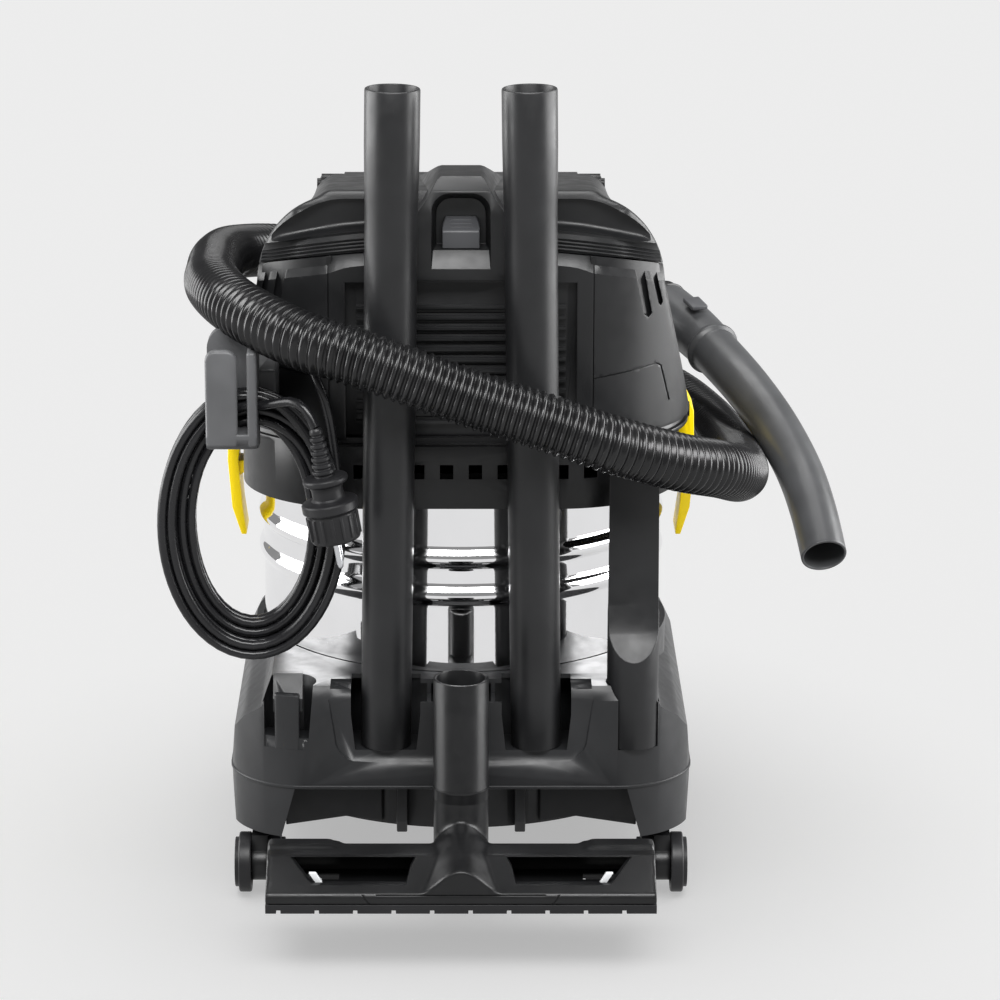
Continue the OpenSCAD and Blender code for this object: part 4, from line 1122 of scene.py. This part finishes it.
def cassette_button():
    """Grey push button with three raised bars on its sloping top."""
    rear, low, high = -146, 496, 517.5
    profile = [
        (rear, low), (rear, 508.5), (rear + 1.2, 510), (rear + 15, high), (rear + 16, high), (rear + 16, low),
    ]
    obj = prism("cassette_release", profile, "x", -13.8, 13.8)
    cut(obj, prism("left_slant", [(-14, 511), (-14, 526), (-8, 526)], "y", -200, 0))
    cut(obj, prism("right_slant", [(14, 511), (8, 526), (14, 526)], "y", -200, 0))
    bevel(obj, 1.2, 3)
    for k in range(3):
        y = rear + 3.4 + 3.6 * k
        z = 511.1 + 1.95 * k
        wide = 9 - 0.8 * k
        bar = box("bar", (-wide, y, z - 2), (wide, y + 1.5, z + 0.9))
        join(obj, bevel(bar, 0.4, 2))
    return dress(obj, GREY, "cassette_button", "cassette_button")


def cable_hook():
    """Bracket for the cable: a back plate with a round top, a tray and a prong in front."""
    back = prism("cable_hook_arm", rounded_box_outline(-187, 340, -149, 443, 15, 8), "y", -176, -164)
    keep(back, box("above", (-200, -200, 352), (-100, 0, 500)))
    prong = prism("prong", rounded_box_outline(-187, 340, -163.5, 433, 8, 8), "y", -207, -199)
    keep(prong, box("above", (-200, -220, 360), (-100, 0, 500)))
    tray = prism("tray", [(-207, 366), (-200, 357), (-164, 352), (-164, 370), (-207, 370)], "x", -187, -149)
    cheek = prism("cheek", rounded_box_outline(-156.5, 340, -149, 432, 3, 4), "y", -207, -164)
    keep(cheek, box("above", (-200, -220, 360), (-100, 0, 500)))
    arm = box("arm", (-174, -170, 368), (-136, -96, 410))
    for piece in (back, prong, tray, cheek, arm):
        bevel(piece, 2.6, 3)
    join(back, prong, tray, cheek, arm)
    bevel(back, 0.5, 2, 60)
    return dress(back, HOOK_PAINTED_LIGHT, "head", "cable_hook", angle=45)


def dressed_nodes():
    """Pieces that keep the CAD shape, with their edges rounded."""
    table = [
        ("base_screw_heads", "base_screws", BRIGHT, "chassis", 0.3),
        ("housing", "head_housing", TRIM, "head", 0.5),
        ("filter_pleats", "pleated_filter", PAPER, "cassette", 0.3),
        ("filter_gasket", "filter_seal", RUBBER, "cassette", 0.6),
        ("carrying_handle", "carry_handle", TRIM, "carry_handle", 2.2),
        ("handle_pivot_pins", "handle_pins", TRIM, "head", 0.3),
        ("latch_left_lever", "latch_left", YELLOW, "latch_left", 1.2),
        ("latch_right_lever", "latch_right", YELLOW, "latch_right", 1.2),
        ("latch_pivot_pins", "latch_pins", BRIGHT, "head", 0.2),
        ("switch_knob", "rotary_switch", YELLOW, "rotary_switch", 0.8),
        ("clean_button", "filter_clean_button", GREY, "filter_clean_button", 0.8),
        ("socket_insert", "appliance_socket", TRIM, "head", 0.4),
        ("socket_cover", "socket_flap", TRIM, "socket_flap", 0.6),
        ("control_panel", "front_panel", TRIM, "head", 0.6),
        ("container_gasket", "head_seal", RUBBER, "head", 0.5),
        ("head_screw_heads", "head_screws", BRIGHT, "head", 0.2),
        ("stator", "motor_stator", COPPER, "head", 0.6),
        ("rotor", "motor_rotor", COPPER, "motor_rotor", 0.3),
        ("motor_cover", "motor_shell", TRIM, "head", 0.6),
        ("fan_case", "fan_housing", GREY, "head", 0.6),
        ("rubber_mounts", "motor_mounts", RUBBER, "head", 0.6),
        ("float_basket", "float_cage", GREY, "head", 0.5),
        ("float_ball", "float_cup", WHITE, "float_cup", 0.8),
        ("electronics", "circuit_board", BOARD, "head", 0.3),
        ("inlet_ring", "inlet_socket", TRIM, "head", 0.6),
        ("hose_end_cuff", "hose_cuff", TRIM, "head", 0.8),
        ("airflow_slide", "airflow_slider", GREY, "airflow_slider", 0.8),
        ("crevice_nozzle", "crevice_tool", TUBE, "crevice_tool", 0.7),
        ("nozzle_brush_strips", "nozzle_strips", RUBBER, "floor_nozzle", 0.3),
        ("nozzle_side_clips", "nozzle_clips", PALE, "floor_nozzle", 0.3),
    ]
    for place in ("rear_left", "rear_right", "front_left", "front_right"):
        table.append(("fork_" + place, "castor_fork_" + place, TRIM, "castor_" + place, 1.0))
        table.append(("wheels_" + place, "castor_wheels_" + place, RUBBER, "wheels_" + place, 0.4))
    for name, node, mat, body, width in table:
        obj = from_node(name, node)
        bevel(obj, width, 2)
        dress(obj, mat, body, node)


container()
suction_tube(-1)
suction_tube(1)
base()
floor_nozzle()
soft = soft_head()
top_cover(soft)
side_panel(soft, -1)
side_panel(soft, 1)
rear_frame(soft)
bpy.data.objects.remove(soft)
cassette()
cassette_button()
cable_hook()
dressed_nodes()
